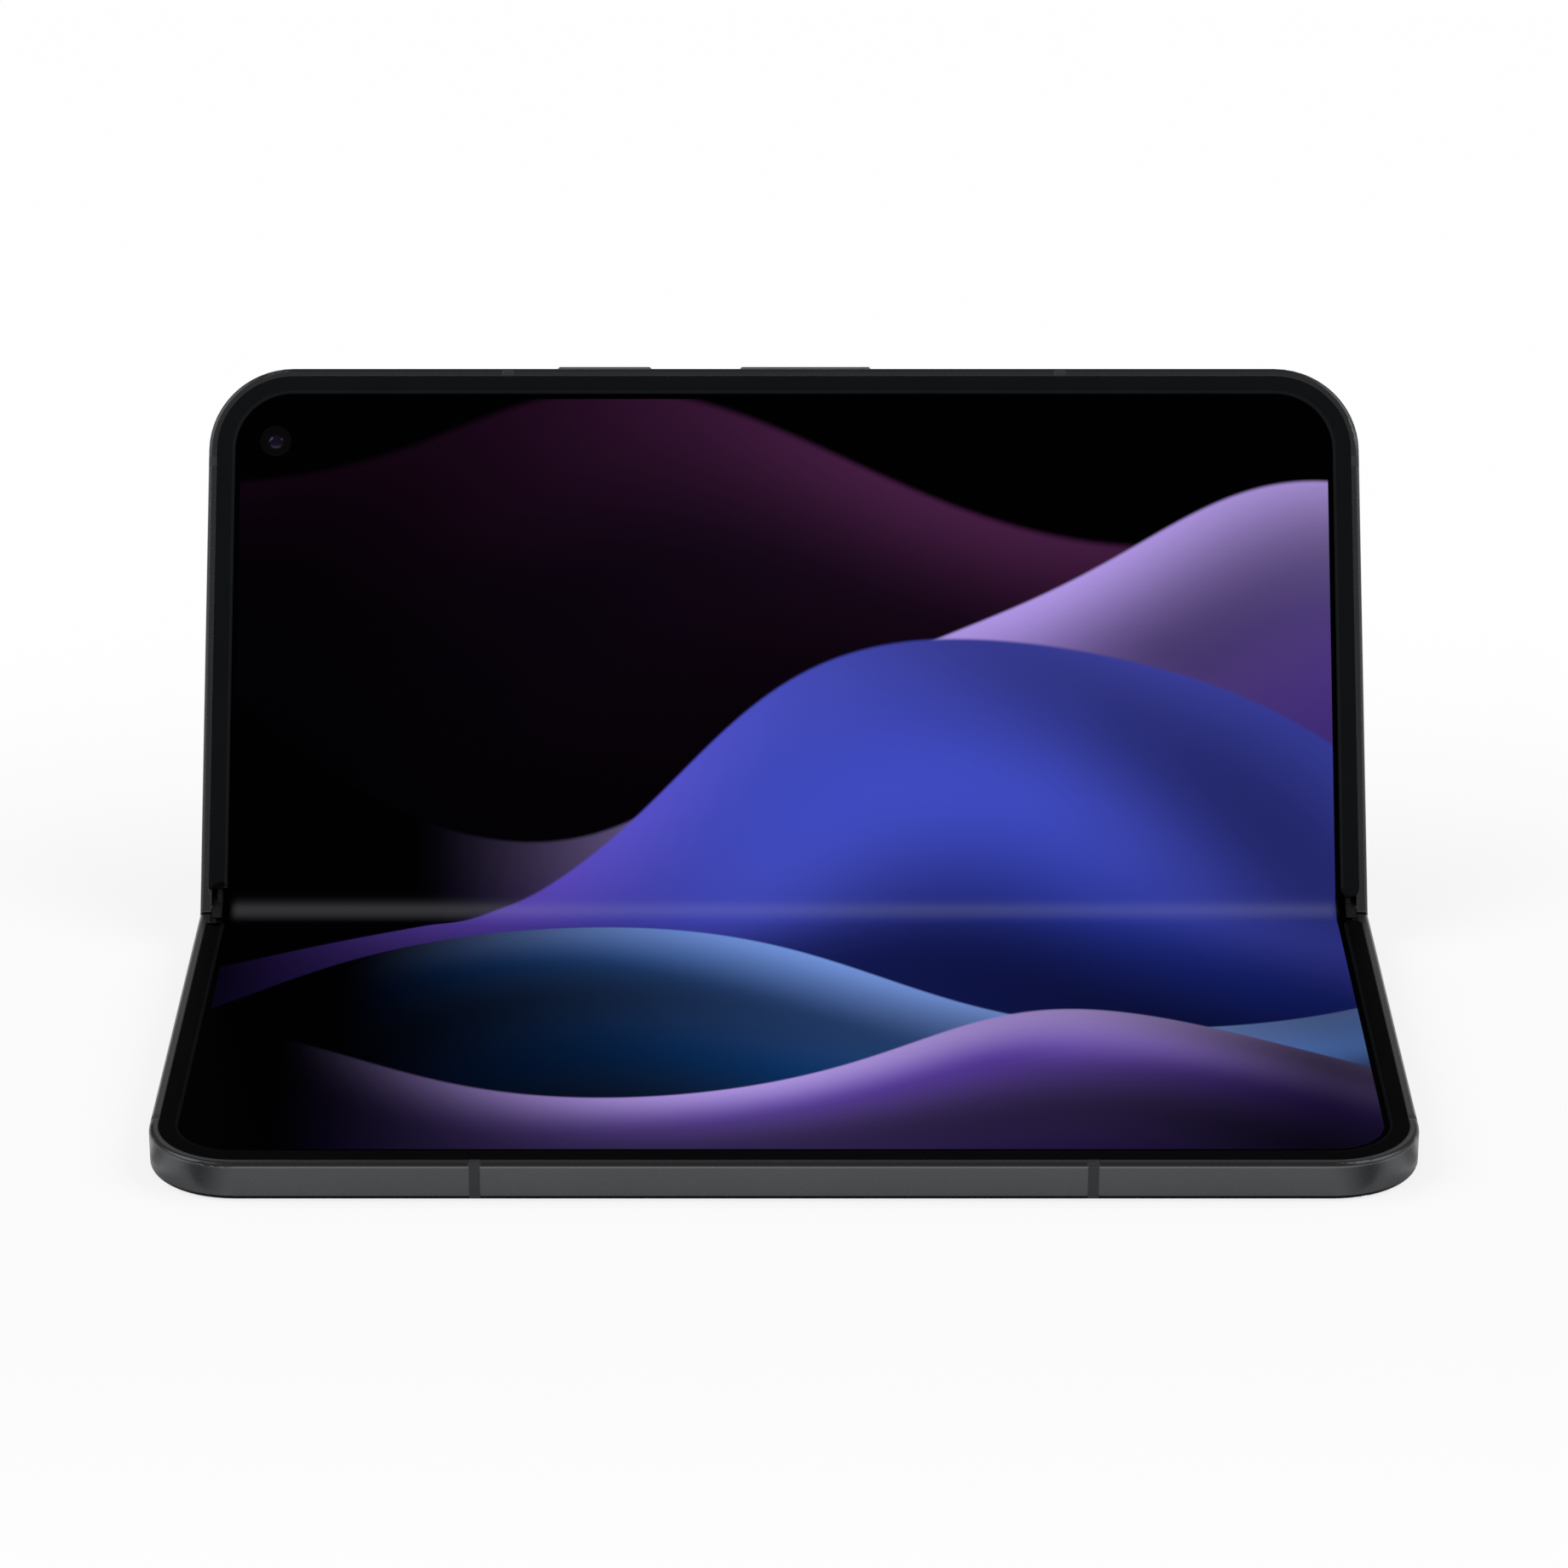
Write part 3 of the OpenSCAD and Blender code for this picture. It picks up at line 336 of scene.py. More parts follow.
def cover_glass():
    """Black glass over the cover display, with the cover camera behind a clear spot."""
    g = Finish("cover_glass")
    x, y, _ = g.xyz()
    away = g.far(x * 1000 - COVER_CAM_X, y * 1000 - (HALF_W / 2 - COVER_CAM_U))
    ring = g.smooth(1.75, 1.8, away) * (1 - g.smooth(1.95, 2.0, away))
    lens = 1 - g.smooth(0.95, 1.05, away)
    smear = g.noise(60.0, 4.0, 0.6, g.scaled(1.0, 2.4, 1.7))
    base = g.mix(lin(5, 5, 7), lin(8, 8, 10), smear)
    base = g.mix(base, lin(46, 46, 50), ring)
    base = g.mix(base, lin(34, 26, 60), lens * g.span(away, 0.0, 1.0, 0.5, 1.0))
    g.set("Base Color", base)
    g.set("Roughness", g.span(smear, 0.35, 0.65, 0.04, 0.09))
    g.set("Normal", g.bump(g.noise(4200.0, 2.0), 0.000002, 0.2))
    return g.mat


def coated_lens():
    """Front element of a camera: black, with the violet and green sheen of its coating."""
    g = Finish("coated_lens", Roughness=0.03, Specular_IOR_Level=0.3, Coat_Weight=0.15, Coat_Roughness=0.02)
    facing = g.node("LayerWeight", "Facing", ins={"Blend": 0.45})
    bands = g.wave(facing * 9.0) * 0.5 + 0.5
    tint = g.mix(lin(52, 30, 92), lin(18, 44, 52), bands)
    g.set("Base Color", g.mix(lin(8, 7, 14), tint, g.smooth(0.02, 0.75, facing)))
    g.set("Normal", g.bump(g.noise(1500.0), 0.000001, 0.1))
    return g.mat


def small_lens():
    """Front element of the inner camera: nearly black, with a small violet glint."""
    g = Finish("small_lens", Roughness=0.07, Specular_IOR_Level=0.32)
    g.set("Specular Tint", (0.62, 0.42, 1.0))
    facing = g.node("LayerWeight", "Facing", ins={"Blend": 0.4})
    g.set("Base Color", g.mix(lin(6, 5, 10), lin(26, 18, 44), g.smooth(0.1, 0.8, facing)))
    g.set("Normal", g.bump(g.noise(1500.0), 0.000001, 0.1))
    return g.mat


def flash_lens():
    """Frosted optic over a warm emitter."""
    g = Finish("flash_lens", Roughness=0.22)
    x, y, z = g.xyz()
    centre = on_back(ISLAND_X, FLASH_U, 0.0)
    away = g.far(x - centre[0], y - centre[1], z - centre[2]) * 1000
    warm = 1 - g.smooth(0.5, 1.3, away)
    base = g.mix(lin(214, 211, 202), lin(236, 206, 96), warm)
    g.set("Base Color", g.mix(base, lin(188, 184, 174), g.noise(900.0, 3.0) * 0.4))
    g.set("Normal", g.bump(g.noise(2600.0, 3.0), 0.000006, 0.4))
    return g.mat


def circuit_board():
    """Dark green solder mask with traces, tinned pads and vias."""
    g = Finish("board", Specular_IOR_Level=0.5)
    to_edge = g.cells(520.0, "Distance", feature="DISTANCE_TO_EDGE", distance="EUCLIDEAN")
    trace = 1 - g.smooth(0.04, 0.09, to_edge)
    pads = 1 - g.smooth(0.16, 0.2, g.cells(700.0, "Distance", distance="CHEBYCHEV"))
    vias = 1 - g.smooth(0.10, 0.14, g.cells(1600.0, "Distance"))
    mask = g.mix(lin(16, 44, 32), lin(30, 70, 50), trace)
    g.set("Base Color", g.mix(mask, lin(186, 180, 160), g.biggest(pads, vias * 0.7)))
    g.set("Metallic", pads * 0.9)
    g.set("Roughness", g.span(pads, 0.0, 1.0, 0.38, 0.3))
    g.set("Normal", g.bump(trace * 0.6 + pads, 0.00002, 0.5))
    return g.mat


def pouch():
    """Laminated foil of a battery, faintly creased."""
    g = Finish("battery", Metallic=0.35)
    crease = g.noise(170.0, 5.0, 0.62)
    g.set("Base Color", g.mix(lin(40, 40, 43), lin(58, 58, 62), crease))
    g.set("Roughness", g.span(crease, 0.3, 0.7, 0.34, 0.5))
    g.set("Normal", g.bump(crease * 0.8 + g.cells(1900.0) * 0.2, 0.00004, 0.5))
    return g.mat


def bezel_plastic(name, colour):
    """Matt black moulding with hardly any gloss, so that it stays dark next to the display."""
    g = Finish(name, Specular_IOR_Level=0.001)
    slow = g.noise(140.0, 3.0)
    low, high = shade(lin(*colour), 0.15)
    g.set("Base Color", g.mix(low, high, slow))
    g.set("Roughness", g.span(slow, 0.3, 0.7, 0.3, 0.38))
    g.set("Normal", g.bump(g.cells(3600.0), 0.000004, 0.4))
    return g.mat


FRAME_GREY = (80, 81, 83)
BASE_UP = (0.0, 0.0, 1.0)
LID_UP = (0.0, -math.sin(2 * PHI), math.cos(2 * PHI))
MATS = {
    # one anodised finish with painted light: painted highlights on edges and flats, painted shade on the
    # roundings and a painted shadow on the frame's lower edge; the lid's flat is painted darker, and the
    # buttons get a lighter grey and lighter tones, a painted highlight
    "frame_metal": anodised("frame_metal", FRAME_GREY, 0.27, up=BASE_UP, tones=(1.2, 0.75, 1.2, 0.16)),
    "lid_metal": anodised("lid_metal", FRAME_GREY, 0.27, up=LID_UP, tones=(1.2, 0.75, 0.86, 0.6)),
    "button_metal": anodised("button_metal", (88, 89, 91), 0.27, up=LID_UP, tones=(1.3, 1.45, 1.5, 0.7)),
    "island_metal": anodised("island_metal", FRAME_GREY, 0.27),
    "spine_metal": anodised("spine_metal", (66, 67, 69), 0.3),
    "hinge_metal": machined("hinge_metal", (150, 150, 153)),
    "black_steel": machined("black_steel", (15, 15, 17), rough=0.42, metallic=0.6),
    "black_plastic": plastic("black_plastic", (20, 20, 22), 0.45),
    # the lid's bezel is a lighter black than the base's, painted light on the half that faces the lamps; each
    # bezel's rounded inner edge is lighter still, a painted highlight
    "bezel_plastic": bezel_plastic("bezel_plastic", (10, 10, 11)),
    "bezel_edge": bezel_plastic("bezel_edge", (17, 18, 19)),
    "lid_bezel": bezel_plastic("lid_bezel", (19, 20, 22)),
    "lid_bezel_edge": bezel_plastic("lid_bezel_edge", (27, 28, 30)),
    "antenna_plastic": plastic("antenna_plastic", (46, 47, 49), 0.5, 3600.0, 0.2, 0.000004),
    "cover_glass": cover_glass(),
    "back_glass": glossy("back_glass", (34, 34, 36), 0.32, 0.25),
    "lens_print": glossy("lens_print", (5, 5, 6), 0.04, specular=0.16),
    "baffle": plastic("baffle", (7, 7, 8), 0.6, 5200.0, 0.15, 0.000003),
    "lens_well": bezel_plastic("lens_well", (16, 16, 18)),
    "lens_glass": coated_lens(),
    "small_lens": small_lens(),
    "lens_ring": machined("lens_ring", (92, 93, 96), (1.0, 1.0, 1.0), 0.22),
    "flash_lens": flash_lens(),
    "battery": pouch(),
    "board": circuit_board(),
    "copper": machined("copper", (158, 102, 64), (30.0, 1.0, 30.0), 0.34),
    "sim_plastic": plastic("sim_plastic", (206, 206, 202), 0.42, 4200.0, 0.4, 0.000003),
    "can_metal": machined("can_metal", (158, 158, 160), (30.0, 1.0, 30.0), 0.28),
}
# nodes whose finish isn't the one named after their slot
BLACK_STEEL_NODES = ("sync_arms_base", "sync_arms_lid", "spine_end_caps", "base_wing_plate", "lid_wing_plate",
                     "idler_gears_a", "idler_gears_b")
FINISHES = dict.fromkeys(BLACK_STEEL_NODES, "black_steel")
FINISHES.update(power_button="button_metal", volume_rocker="button_metal", lid_frame="lid_metal",
                sim_card="sim_plastic")


# ---------------------------------------------------------------- meshes
def smooth_faces(mesh, angle):
    mesh.polygons.foreach_set("use_smooth", [True] * len(mesh.polygons))
    mesh.set_sharp_from_angle(angle=math.radians(angle))


def make(name, points, faces, materials, skins=None, angle=30):
    mesh = bpy.data.meshes.new(name)
    mesh.from_pydata([tuple(p) for p in points], [], [tuple(int(i) for i in f) for f in faces])
    for material in materials:
        mesh.materials.append(material)
    if skins is not None:
        mesh.polygons.foreach_set("material_index", list(skins))
    obj = bpy.data.objects.new(name, mesh)
    bpy.context.scene.collection.objects.link(obj)
    smooth_faces(mesh, angle)
    return obj


def stack(loops, skins=0, closed=False):
    """Points, faces and skins of a solid from equal rings of points, one after the other.

    skins is the material index of every band, or a list of one for each; closed joins the last
    ring to the first, and otherwise the first and last rings get flat ends."""
    size, count = len(loops[0]), len(loops)
    ring = np.arange(size)
    after = np.roll(ring, -1)
    bands = count if closed else count - 1
    of_band = skins if isinstance(skins, (list, tuple)) else [skins] * bands
    faces, tones = [], []
    for k in range(bands):
        a, b = k * size, (k + 1) % count * size
        faces += np.stack([ring + a, after + a, after + b, ring + b], -1).tolist()
        tones += [of_band[k]] * size
    if not closed:
        faces += [list(ring[::-1]), list(ring + (count - 1) * size)]
        tones += [of_band[0], of_band[-1]]
    return np.concatenate(loops), faces, tones


def piece(name, parts, materials, body, replaces, angle=30):
    """One piece from closed solids. It rides on a body, unless that is None, and then it stays where its
    points put it.
    """
    points, faces, skins, base = [], [], [], 0
    for p, f, s in parts:
        points.append(p)
        faces += [[i + base for i in g] for g in f]
        skins += s
        base += len(p)
    obj = make(name, np.concatenate(points), faces, materials, skins, angle)
    fix_normals(obj)
    if body:
        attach(obj, body)
    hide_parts(*replaces)
    return obj


def fix_normals(obj):
    bm = bmesh.new()
    bm.from_mesh(obj.data)
    bmesh.ops.recalc_face_normals(bm, faces=bm.faces)
    bm.to_mesh(obj.data)
    bm.free()


def circle(r, count):
    a = np.linspace(0, 2 * math.pi, count, endpoint=False)
    return r * np.cos(a), r * np.sin(a)


def turned_solid(place, x, u, profile, skins=0, closed=False, count=64):
    """A round solid about the line through x and u, from (radius, height) pairs."""
    loops = []
    for r, h in profile:
        cx, cu = circle(r, count)
        loops.append(place(x + cx, u + cu, h))
    return stack(loops, skins, closed)


def dome(r, h, rise):
    """(radius, height) pairs from the rim of a shallow dome to just beside its top."""
    bulge = (r * r + rise * rise) / (2 * rise)
    radii = r * np.cos(np.linspace(0, math.pi / 2, 8))[:-1]
    radii = np.append(radii, 0.05)
    return [(k, h + math.sqrt(bulge * bulge - k * k) - (bulge - rise)) for k in radii]


def pill_loop(length, width, inset=0.0, steps=20):
    """A bar with round ends along x, drawn in by inset."""
    r, run = width / 2 - inset, (length - width) / 2
    a = np.linspace(-math.pi / 2, math.pi / 2, steps)
    return (np.concatenate([run + r * np.cos(a), -run - r * np.cos(a)]),
            np.concatenate([r * np.sin(a), -r * np.sin(a)]))


def cut(obj, *tools, angle=30):
    """Takes solids out of a piece and leaves a plain mesh, without modifiers."""
    for points, faces, _ in tools:
        tool = make("tool", points, faces, [obj.data.materials[0]])
        fix_normals(tool)
        mod = obj.modifiers.new("cut", "BOOLEAN")
        mod.object, mod.solver, mod.operation = tool, "EXACT", "DIFFERENCE"
        bpy.context.view_layer.update()
        mesh = bpy.data.meshes.new_from_object(obj.evaluated_get(bpy.context.evaluated_depsgraph_get()))
        obj.modifiers.clear()
        obj.data = mesh
        bpy.data.objects.remove(tool)
    smooth_faces(obj.data, angle)


# ---------------------------------------------------------------- the lit display
def display_material():
    """Generic overlapping waves of violet, indigo and blue on black, lit from within."""
    g = Finish("lit_display", Specular_IOR_Level=0.0015, Emission_Strength=1.0)
    ux, uy, _ = g.xyz(g.node("UVMap", 0, uv_map="flat"))
    x = (ux - 0.5) * LENGTH     # millimetres on the flat display, from its middle
    y = (uy - 0.5) * (2 * HALF_W)
    sin = g.wave
    black = (0.0, 0.0, 0.0)

    warp = sin(x * 0.071 + y * 0.043) * 3.0 + sin(x * 0.031 - y * 0.067 + 1.3) * 2.0
    slant = g.smooth(-0.2, 1.0, sin(x * 0.022 + y * 0.035 + 0.9))
    lavender, violet, indigo = lin(190, 165, 238), lin(108, 76, 190), lin(40, 60, 176)
    iris = g.mix(lin(112, 78, 196), lin(80, 86, 202), g.smooth(-48.0, 2.0, x))
    blue, light_blue = lin(30, 92, 172), lin(128, 160, 232)
    maroon, wine = lin(74, 32, 70), lin(30, 14, 34)

    def swell(back, crest, soft, edge, depth, colours, fold, fade, sheen=0.0):
        """One wave in front of a picture. Below its crest it goes from its light colour to its body
        colour over edge, and dims over depth. fold is a slow ripple across it, fade is its brightness
        along x, and sheen a second, slanting band of light."""
        light, body = colours
        below = crest - y
        fall = g.math("EXPONENT", g.biggest(below, 0.0) * (-1 / depth))
        ripple = sin(below * fold[0] + x * fold[1] + fold[2]) * 0.5 + 0.5
        blend = g.smooth(0.0, edge, below) * 0.75 + ripple * 0.25
        tone = g.mix(black, g.mix(light, body, blend), fall * fade * (ripple * 0.6 + 0.45))
        if sheen:
            off = (below - edge * 0.9) / (edge * 0.45)
            glow = g.math("EXPONENT", -(off * off)) * slant * fade * sheen
            tone = g.node("VectorMath", operation="ADD", ins={0: tone, 1: g.mix(black, light, glow)})
        return g.mix(back, tone, g.smooth(0.0, soft, below))

    picture = swell(black, sin(x * 0.028 + 2.2) * 10 + 58 + warp, 1.5, 22, 26, (maroon, wine),
                    (0.11, 0.05, 0.4), g.smooth(-70.0, 20.0, x) * 0.9 + 0.1)
    picture = swell(picture, sin(x * 0.031 - 0.5) * 22 + 36 + warp, 0.8, 22, 30, (lavender, violet),
                    (0.13, 0.03, 1.0), g.smooth(-50.0, 38.0, x), 0.35)
    picture = swell(picture, sin(x * 0.027 + 0.75) * 30 + 10 + warp, 0.8, 30, 44, (iris, indigo),
                    (0.10, -0.06, 0.2), g.smooth(-80.0, -12.0, x) * (1 - g.smooth(34.0, 74.0, x) * 0.5), 0.45)
    picture = swell(picture, sin(x * 0.045 + 2.6) * 17 - 20 + warp, 0.7, 16, 24, (light_blue, blue),
                    (0.17, 0.05, 2.0), g.smooth(-58.0, 10.0, x) * (1 - g.smooth(44.0, 74.0, x) * 0.6), 0.5)
    picture = swell(picture, sin(x * 0.050 - 0.2) * 13 - 44 + warp, 0.7, 12, 16, (lavender, violet),
                    (0.2, -0.04, 0.5), g.smooth(-64.0, 4.0, x) * (1 - g.smooth(34.0, 70.0, x) * 0.85), 0.3)
    # the lit area is a rounded rectangle inside the black border, with a hole for the inner camera
    past = g.far(g.biggest(g.size(x) - (LIT_X - LIT_R), 0.0), g.biggest(g.size(y) - (LIT_Y - LIT_R), 0.0))
    lit = 1 - g.smooth(LIT_R - 0.05, LIT_R + 0.05, past)
    lit = lit * g.smooth(CAM_HOLE_R + 0.05, CAM_HOLE_R + 0.15, g.far(x - CAM_X, y - CAM_U))
    g.set("Emission Color", g.mix(black, picture, lit))
    # where it bends, up to the black border, the film is given a lighter colour, a painted highlight along
    # the crease, and a rougher gloss
    crease_y, crease_w = 0.25, 1.4
    off = y - crease_y
    crease = g.math("EXPONENT", off * off * (-1 / crease_w ** 2)) * (1 - g.smooth(72.4, 73.8, g.size(x)))
    grain = g.noise(900.0, 2.0, 0.5, g.vector(ux, uy * 3.0, 0.0))
    film, haze_and_painted_highlight = (0.0004, 0.0004, 0.0006), (0.036, 0.037, 0.04)
    g.set("Base Color", g.mix(film, haze_and_painted_highlight, crease * (grain * 0.3 + 0.85)))
    g.set("Roughness", g.span(crease, 0.0, 1.0, 0.18, 0.4))
    g.set("Normal", g.bump(grain, 0.000003, 0.15))
    return g.mat


def half_width(u):
    """Half length of the display along the hinge at u, with its rounded outer corners."""
    full = LENGTH / 2 - DISPLAY_INSET
    r = CORNER_R - DISPLAY_INSET
    d = np.clip(u - (HALF_W - DISPLAY_INSET - r), 0, r)
    return full - r + np.sqrt(np.maximum(r * r - d * d, 0.0))


def smooth_step(t):
    return t * t * (3 - 2 * t)


SETTLE_STEPS = 60


def bent(x, u, w, side, start, end):
    axis_y = -AXIS_OFF if side < 0 else AXIS_OFF
    share = smooth_step(np.clip(1 - u / BEND, 0, 1))
    if side > 0:
        share = 1 - share
    for _ in range(SETTLE_STEPS):
        p = turned(u * side, w, axis_y, -AXIS_DEPTH, PHI * share)
        p = row(x, *p) if side < 0 else on_spine(x, *p)
        share = smooth_step(np.clip(((p - start) @ (end - start)) / ((end - start) @ (end - start)), 0, 1))
    return p


def flex_cables(name, side):
    """One side of the two ribbons that cross the hinge, with slack that the fold takes up."""
    a = np.linspace(0, 1, 15)
    u = np.concatenate([FLEX_BEND * a, np.linspace(FLEX_BEND, FLEX_U, 9)[1:], [FLEX_U] * 3])
    w = np.concatenate([FLEX_LOW + (FLEX_TOP - FLEX_LOW) * smooth_step(a), [FLEX_TOP] * 8,
                        FLEX_TOP - FLEX_LEG * np.array([0.1, 0.5, 1.0])])
    along_u, along_w = np.gradient(u), np.gradient(w)
    norm = np.hypot(along_u, along_w)
    off_u, off_w = -along_w / norm * FLEX_T / 2, along_u / norm * FLEX_T / 2
    half = on_base if side < 0 else on_lid
    outer, centre = half(0.0, FLEX_BEND, FLEX_TOP), on_spine(0.0, 0.0, FLEX_LOW)
    start, end = (outer, centre) if side < 0 else (centre, outer)
    parts = []
    for mid in (-FLEX_X, FLEX_X):
        ring_x = mid + FLEX_W / 2 * np.array([-1, -0.33, 0.33, 1, 1, 0.33, -0.33, -1])
        face = np.array([1, 1, 1, 1, -1, -1, -1, -1])
        loops = [bent(ring_x, u[k] + off_u[k] * face, w[k] + off_w[k] * face, side, start, end)
                 for k in range(len(u))]
        parts.append(stack(loops))
    obj = piece(name, parts, [MATS["copper"]], None, ("hinge_flex_cables",), 40)
    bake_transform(obj)


def display_half(name, side, replaces, material):
    """One side of the flexible display, from the centre line to the long edge, as a closed sheet."""
    edge = HALF_W - DISPLAY_INSET
    corner = CORNER_R - DISPLAY_INSET
    us = np.concatenate([np.linspace(0, BEND + 0.5, 25), np.linspace(BEND + 0.5, edge - corner, 16)[1:],
                         edge - corner + corner * np.sin(np.linspace(0, math.pi / 2, 14)[1:])])
    u, s = np.meshgrid(us, np.linspace(-1, 1, 61), indexing="ij")
    x = s * half_width(u)
    centre = on_spine(0.0, 0.0, DISPLAY_TOP)
    outer = on_base(0.0, BEND, DISPLAY_TOP) if side < 0 else on_lid(0.0, BEND, DISPLAY_TOP)
    start, end = (outer, centre) if side < 0 else (centre, outer)
    sheets = [bent(x.ravel(), u.ravel(), w, side, start, end) for w in (DISPLAY_TOP, DISPLAY_TOP - DISPLAY_T)]
    n, m = u.shape
    idx = np.arange(n * m).reshape(n, m)
    top = np.stack([idx[:-1, :-1], idx[:-1, 1:], idx[1:, 1:], idx[1:, :-1]], -1).reshape(-1, 4)
    rim = np.concatenate([idx[0, :], idx[1:, -1], idx[-1, -2::-1], idx[-2:0:-1, 0]])
    after = np.roll(rim, -1)
    walls = np.stack([rim, rim + n * m, after + n * m, after], -1)
    faces = np.concatenate([top, top[:, ::-1] + n * m, walls])
    obj = make(name, np.concatenate(sheets), faces, [material], angle=40)
    fix_normals(obj)
    uv = obj.data.uv_layers.new(name="flat")
    of_corner = np.zeros(len(obj.data.loops), int)
    obj.data.loops.foreach_get("vertex_index", of_corner)
    flat = np.stack([x.ravel() / LENGTH + 0.5, side * u.ravel() / (2 * HALF_W) + 0.5], -1)
    uv.data.foreach_set("uv", np.concatenate([flat, flat])[of_corner].ravel())
    if side > 0:
        cut(obj, turned_solid(on_lid, CAM_X, CAM_U, [(CAM_HOLE_R, -1.4), (CAM_HOLE_R, 0.6)]), angle=40)
    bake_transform(obj)
    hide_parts(*replaces)


LIT = display_material()
display_half("display_base_side", -1, ("inner_display_base", "inner_display_fold"), LIT)
display_half("display_lid_side", 1, ("inner_display_lid",), LIT)
flex_cables("flex_base_side", -1)
flex_cables("flex_lid_side", 1)


# ---------------------------------------------------------------- bezels
def bezel(name, place, body, node, finishes):
    """The raised plastic strip round a half, with rounded edges and round ends at the hinge."""
    half = BEZEL_W / 2
    mid = RIM_W + half
    r = CORNER_R - mid
    cx, cu = LENGTH / 2 - CORNER_R, HALF_W - CORNER_R
    left = [(-cx - r, u, -1.0, 0.0) for u in np.linspace(BEZEL_Y0 + half, cu, 14)[:-1]]
    left += [(-cx + r * math.cos(a), cu + r * math.sin(a), math.cos(a), math.sin(a))
             for a in np.linspace(math.pi, math.pi / 2, 17)]
    left += [(x, cu + r, 0.0, 1.0) for x in np.linspace(-cx, 0, 14)[1:-1]]
    line = np.array(left + [(0.0, cu + r, 0.0, 1.0)] + [(-x, u, -nx, nu) for x, u, nx, nu in reversed(left)])
    pts, nrm = line[:, :2], line[:, 2:]
    count, cap = len(pts), 12

    def loop(inset_out, inset_in):
        """Once round the strip: its outer side, a round end, its inner side, a round end."""
        outer = pts + nrm * (half - inset_out)
        inner = (pts - nrm * (half - inset_in))[::-1]
        ends = []
        for centre, turn0 in ((pts[-1], 0.0), (pts[0], math.pi)):
            arc = []
            for a in np.linspace(0, math.pi, cap + 2)[1:-1]:
                k = half - (inset_out if (a < math.pi / 2) == (turn0 == 0.0) else inset_in)
                arc.append(centre + k * np.array([math.cos(turn0 - a), math.sin(turn0 - a)]))
            ends.append(np.array(arc))
        return np.concatenate([outer, ends[0], inner, ends[1]])

    levels = [(0.0, 0.0, -BEZEL_DEPTH), (0.0, 0.0, -0.22), (0.0, 0.03, -0.15), (0.02, 0.11, -0.08),
              (0.07, 0.24, -0.02), (0.14, 0.40, 0.0)]
    size = 2 * count + 2 * cap
    points, faces, _ = stack([place(*loop(a, b).T, z) for a, b, z in levels])
    # the flat top and bottom are split into four-sided faces, because the strip is too curved for one
    ends = [[i, i + 1, size - cap - 2 - i, size - cap - 1 - i] for i in range(count - 1)]
    ends.append(list(range(count - 1, count + cap + 1)))
    ends.append([size - cap - 1] + list(range(size - cap, size)) + [0])
    top = (len(levels) - 1) * size      # first point of the top loop, and the number of side faces
    faces = faces[:-2] + [[i + top for i in f] for f in ends] + [f[::-1] for f in ends]
    # the rounded inner edge is given a lighter black, a painted highlight
    rounded_edge = [count + cap <= k % size < size - cap - 1 and k // size >= 2 for k in range(top)]
    skins = [int(k) for k in rounded_edge] + [0] * (len(faces) - top)
    piece(name, [(points, faces, skins)], [MATS[k] for k in finishes], body, (node,), 50)


bezel("bezel_base", on_base, "base", "base_bezel", ("bezel_plastic", "bezel_edge"))
bezel("bezel_lid", on_lid, "lid", "lid_bezel", ("lid_bezel", "lid_bezel_edge"))


# ---------------------------------------------------------------- outer glass
def glass_loop(inset):
    """Outline of an outer glass, with round corners at the long edge."""
    hx, u1 = LENGTH / 2 - GLASS_INSET - inset, HALF_W - GLASS_INSET - inset
    r = CORNER_R - GLASS_INSET - inset
    a = np.linspace(0, math.pi / 2, 17)
    corner_x, corner_u = hx - r + r * np.cos(a), u1 - r + r * np.sin(a)
    x = np.concatenate([[hx], corner_x, -corner_x[::-1], [-hx]])
    u = np.concatenate([[HINGE_STRIP + inset], corner_u, corner_u[::-1], [HINGE_STRIP + inset]])
    return x, u


def outer_glass(name, place, body, node, holes=()):
    """A cover or back glass whose outer edge is rounded over."""
    over = 0.3
    levels = [(0.0, GLASS_T), (0.0, over)]
    levels += [(over * (1 - math.cos(a)), over * (1 - math.sin(a)))
               for a in np.linspace(0, math.pi / 2, 6)[1:]]
    solid = stack([place(*glass_loop(inset), depth - HALF_T) for inset, depth in levels])
    obj = piece(name, [solid], [MATS[node]], body, (node,), 40)
    if holes:
        cut(obj, *holes, angle=40)


hole_x, hole_u = pill_loop(ISLAND_LEN + 0.1, ISLAND_W + 0.1)
island_hole = stack([on_back(ISLAND_X + hole_x, ISLAND_U + hole_u, h) for h in (-2.0, 1.0)])
flash_hole = turned_solid(on_back, ISLAND_X, FLASH_U, [(FLASH_R + 0.05, -2.0), (FLASH_R + 0.05, 1.0)])
outer_glass("glass_back", on_lid, "lid", "back_glass", (island_hole, flash_hole))
outer_glass("glass_cover", on_base, "base", "cover_glass")


# ---------------------------------------------------------------- cameras and flash
def camera_island():
    """The raised bar that carries the rear lenses, rounded over its top edge."""
    over = 0.5
    levels = [(0.0, -GLASS_T), (0.0, ISLAND_H - over)]
    levels += [(over * (1 - math.cos(a)), ISLAND_H - over * (1 - math.sin(a)))
               for a in np.linspace(0, math.pi / 2, 7)[1:]]
    loops = []
    for inset, h in levels:
        x, u = pill_loop(ISLAND_LEN, ISLAND_W, inset, 32)
        loops.append(on_back(ISLAND_X + x, ISLAND_U + u, h))
    obj = piece("camera_bar", [stack(loops)], [MATS["island_metal"]], "lid",
                ("camera_island",))
    seat = [(RING_R, LENS_SEAT), (RING_R, 3.0)]
    cut(obj, *(turned_solid(on_back, x, ISLAND_U, seat) for x in LENS_XS))


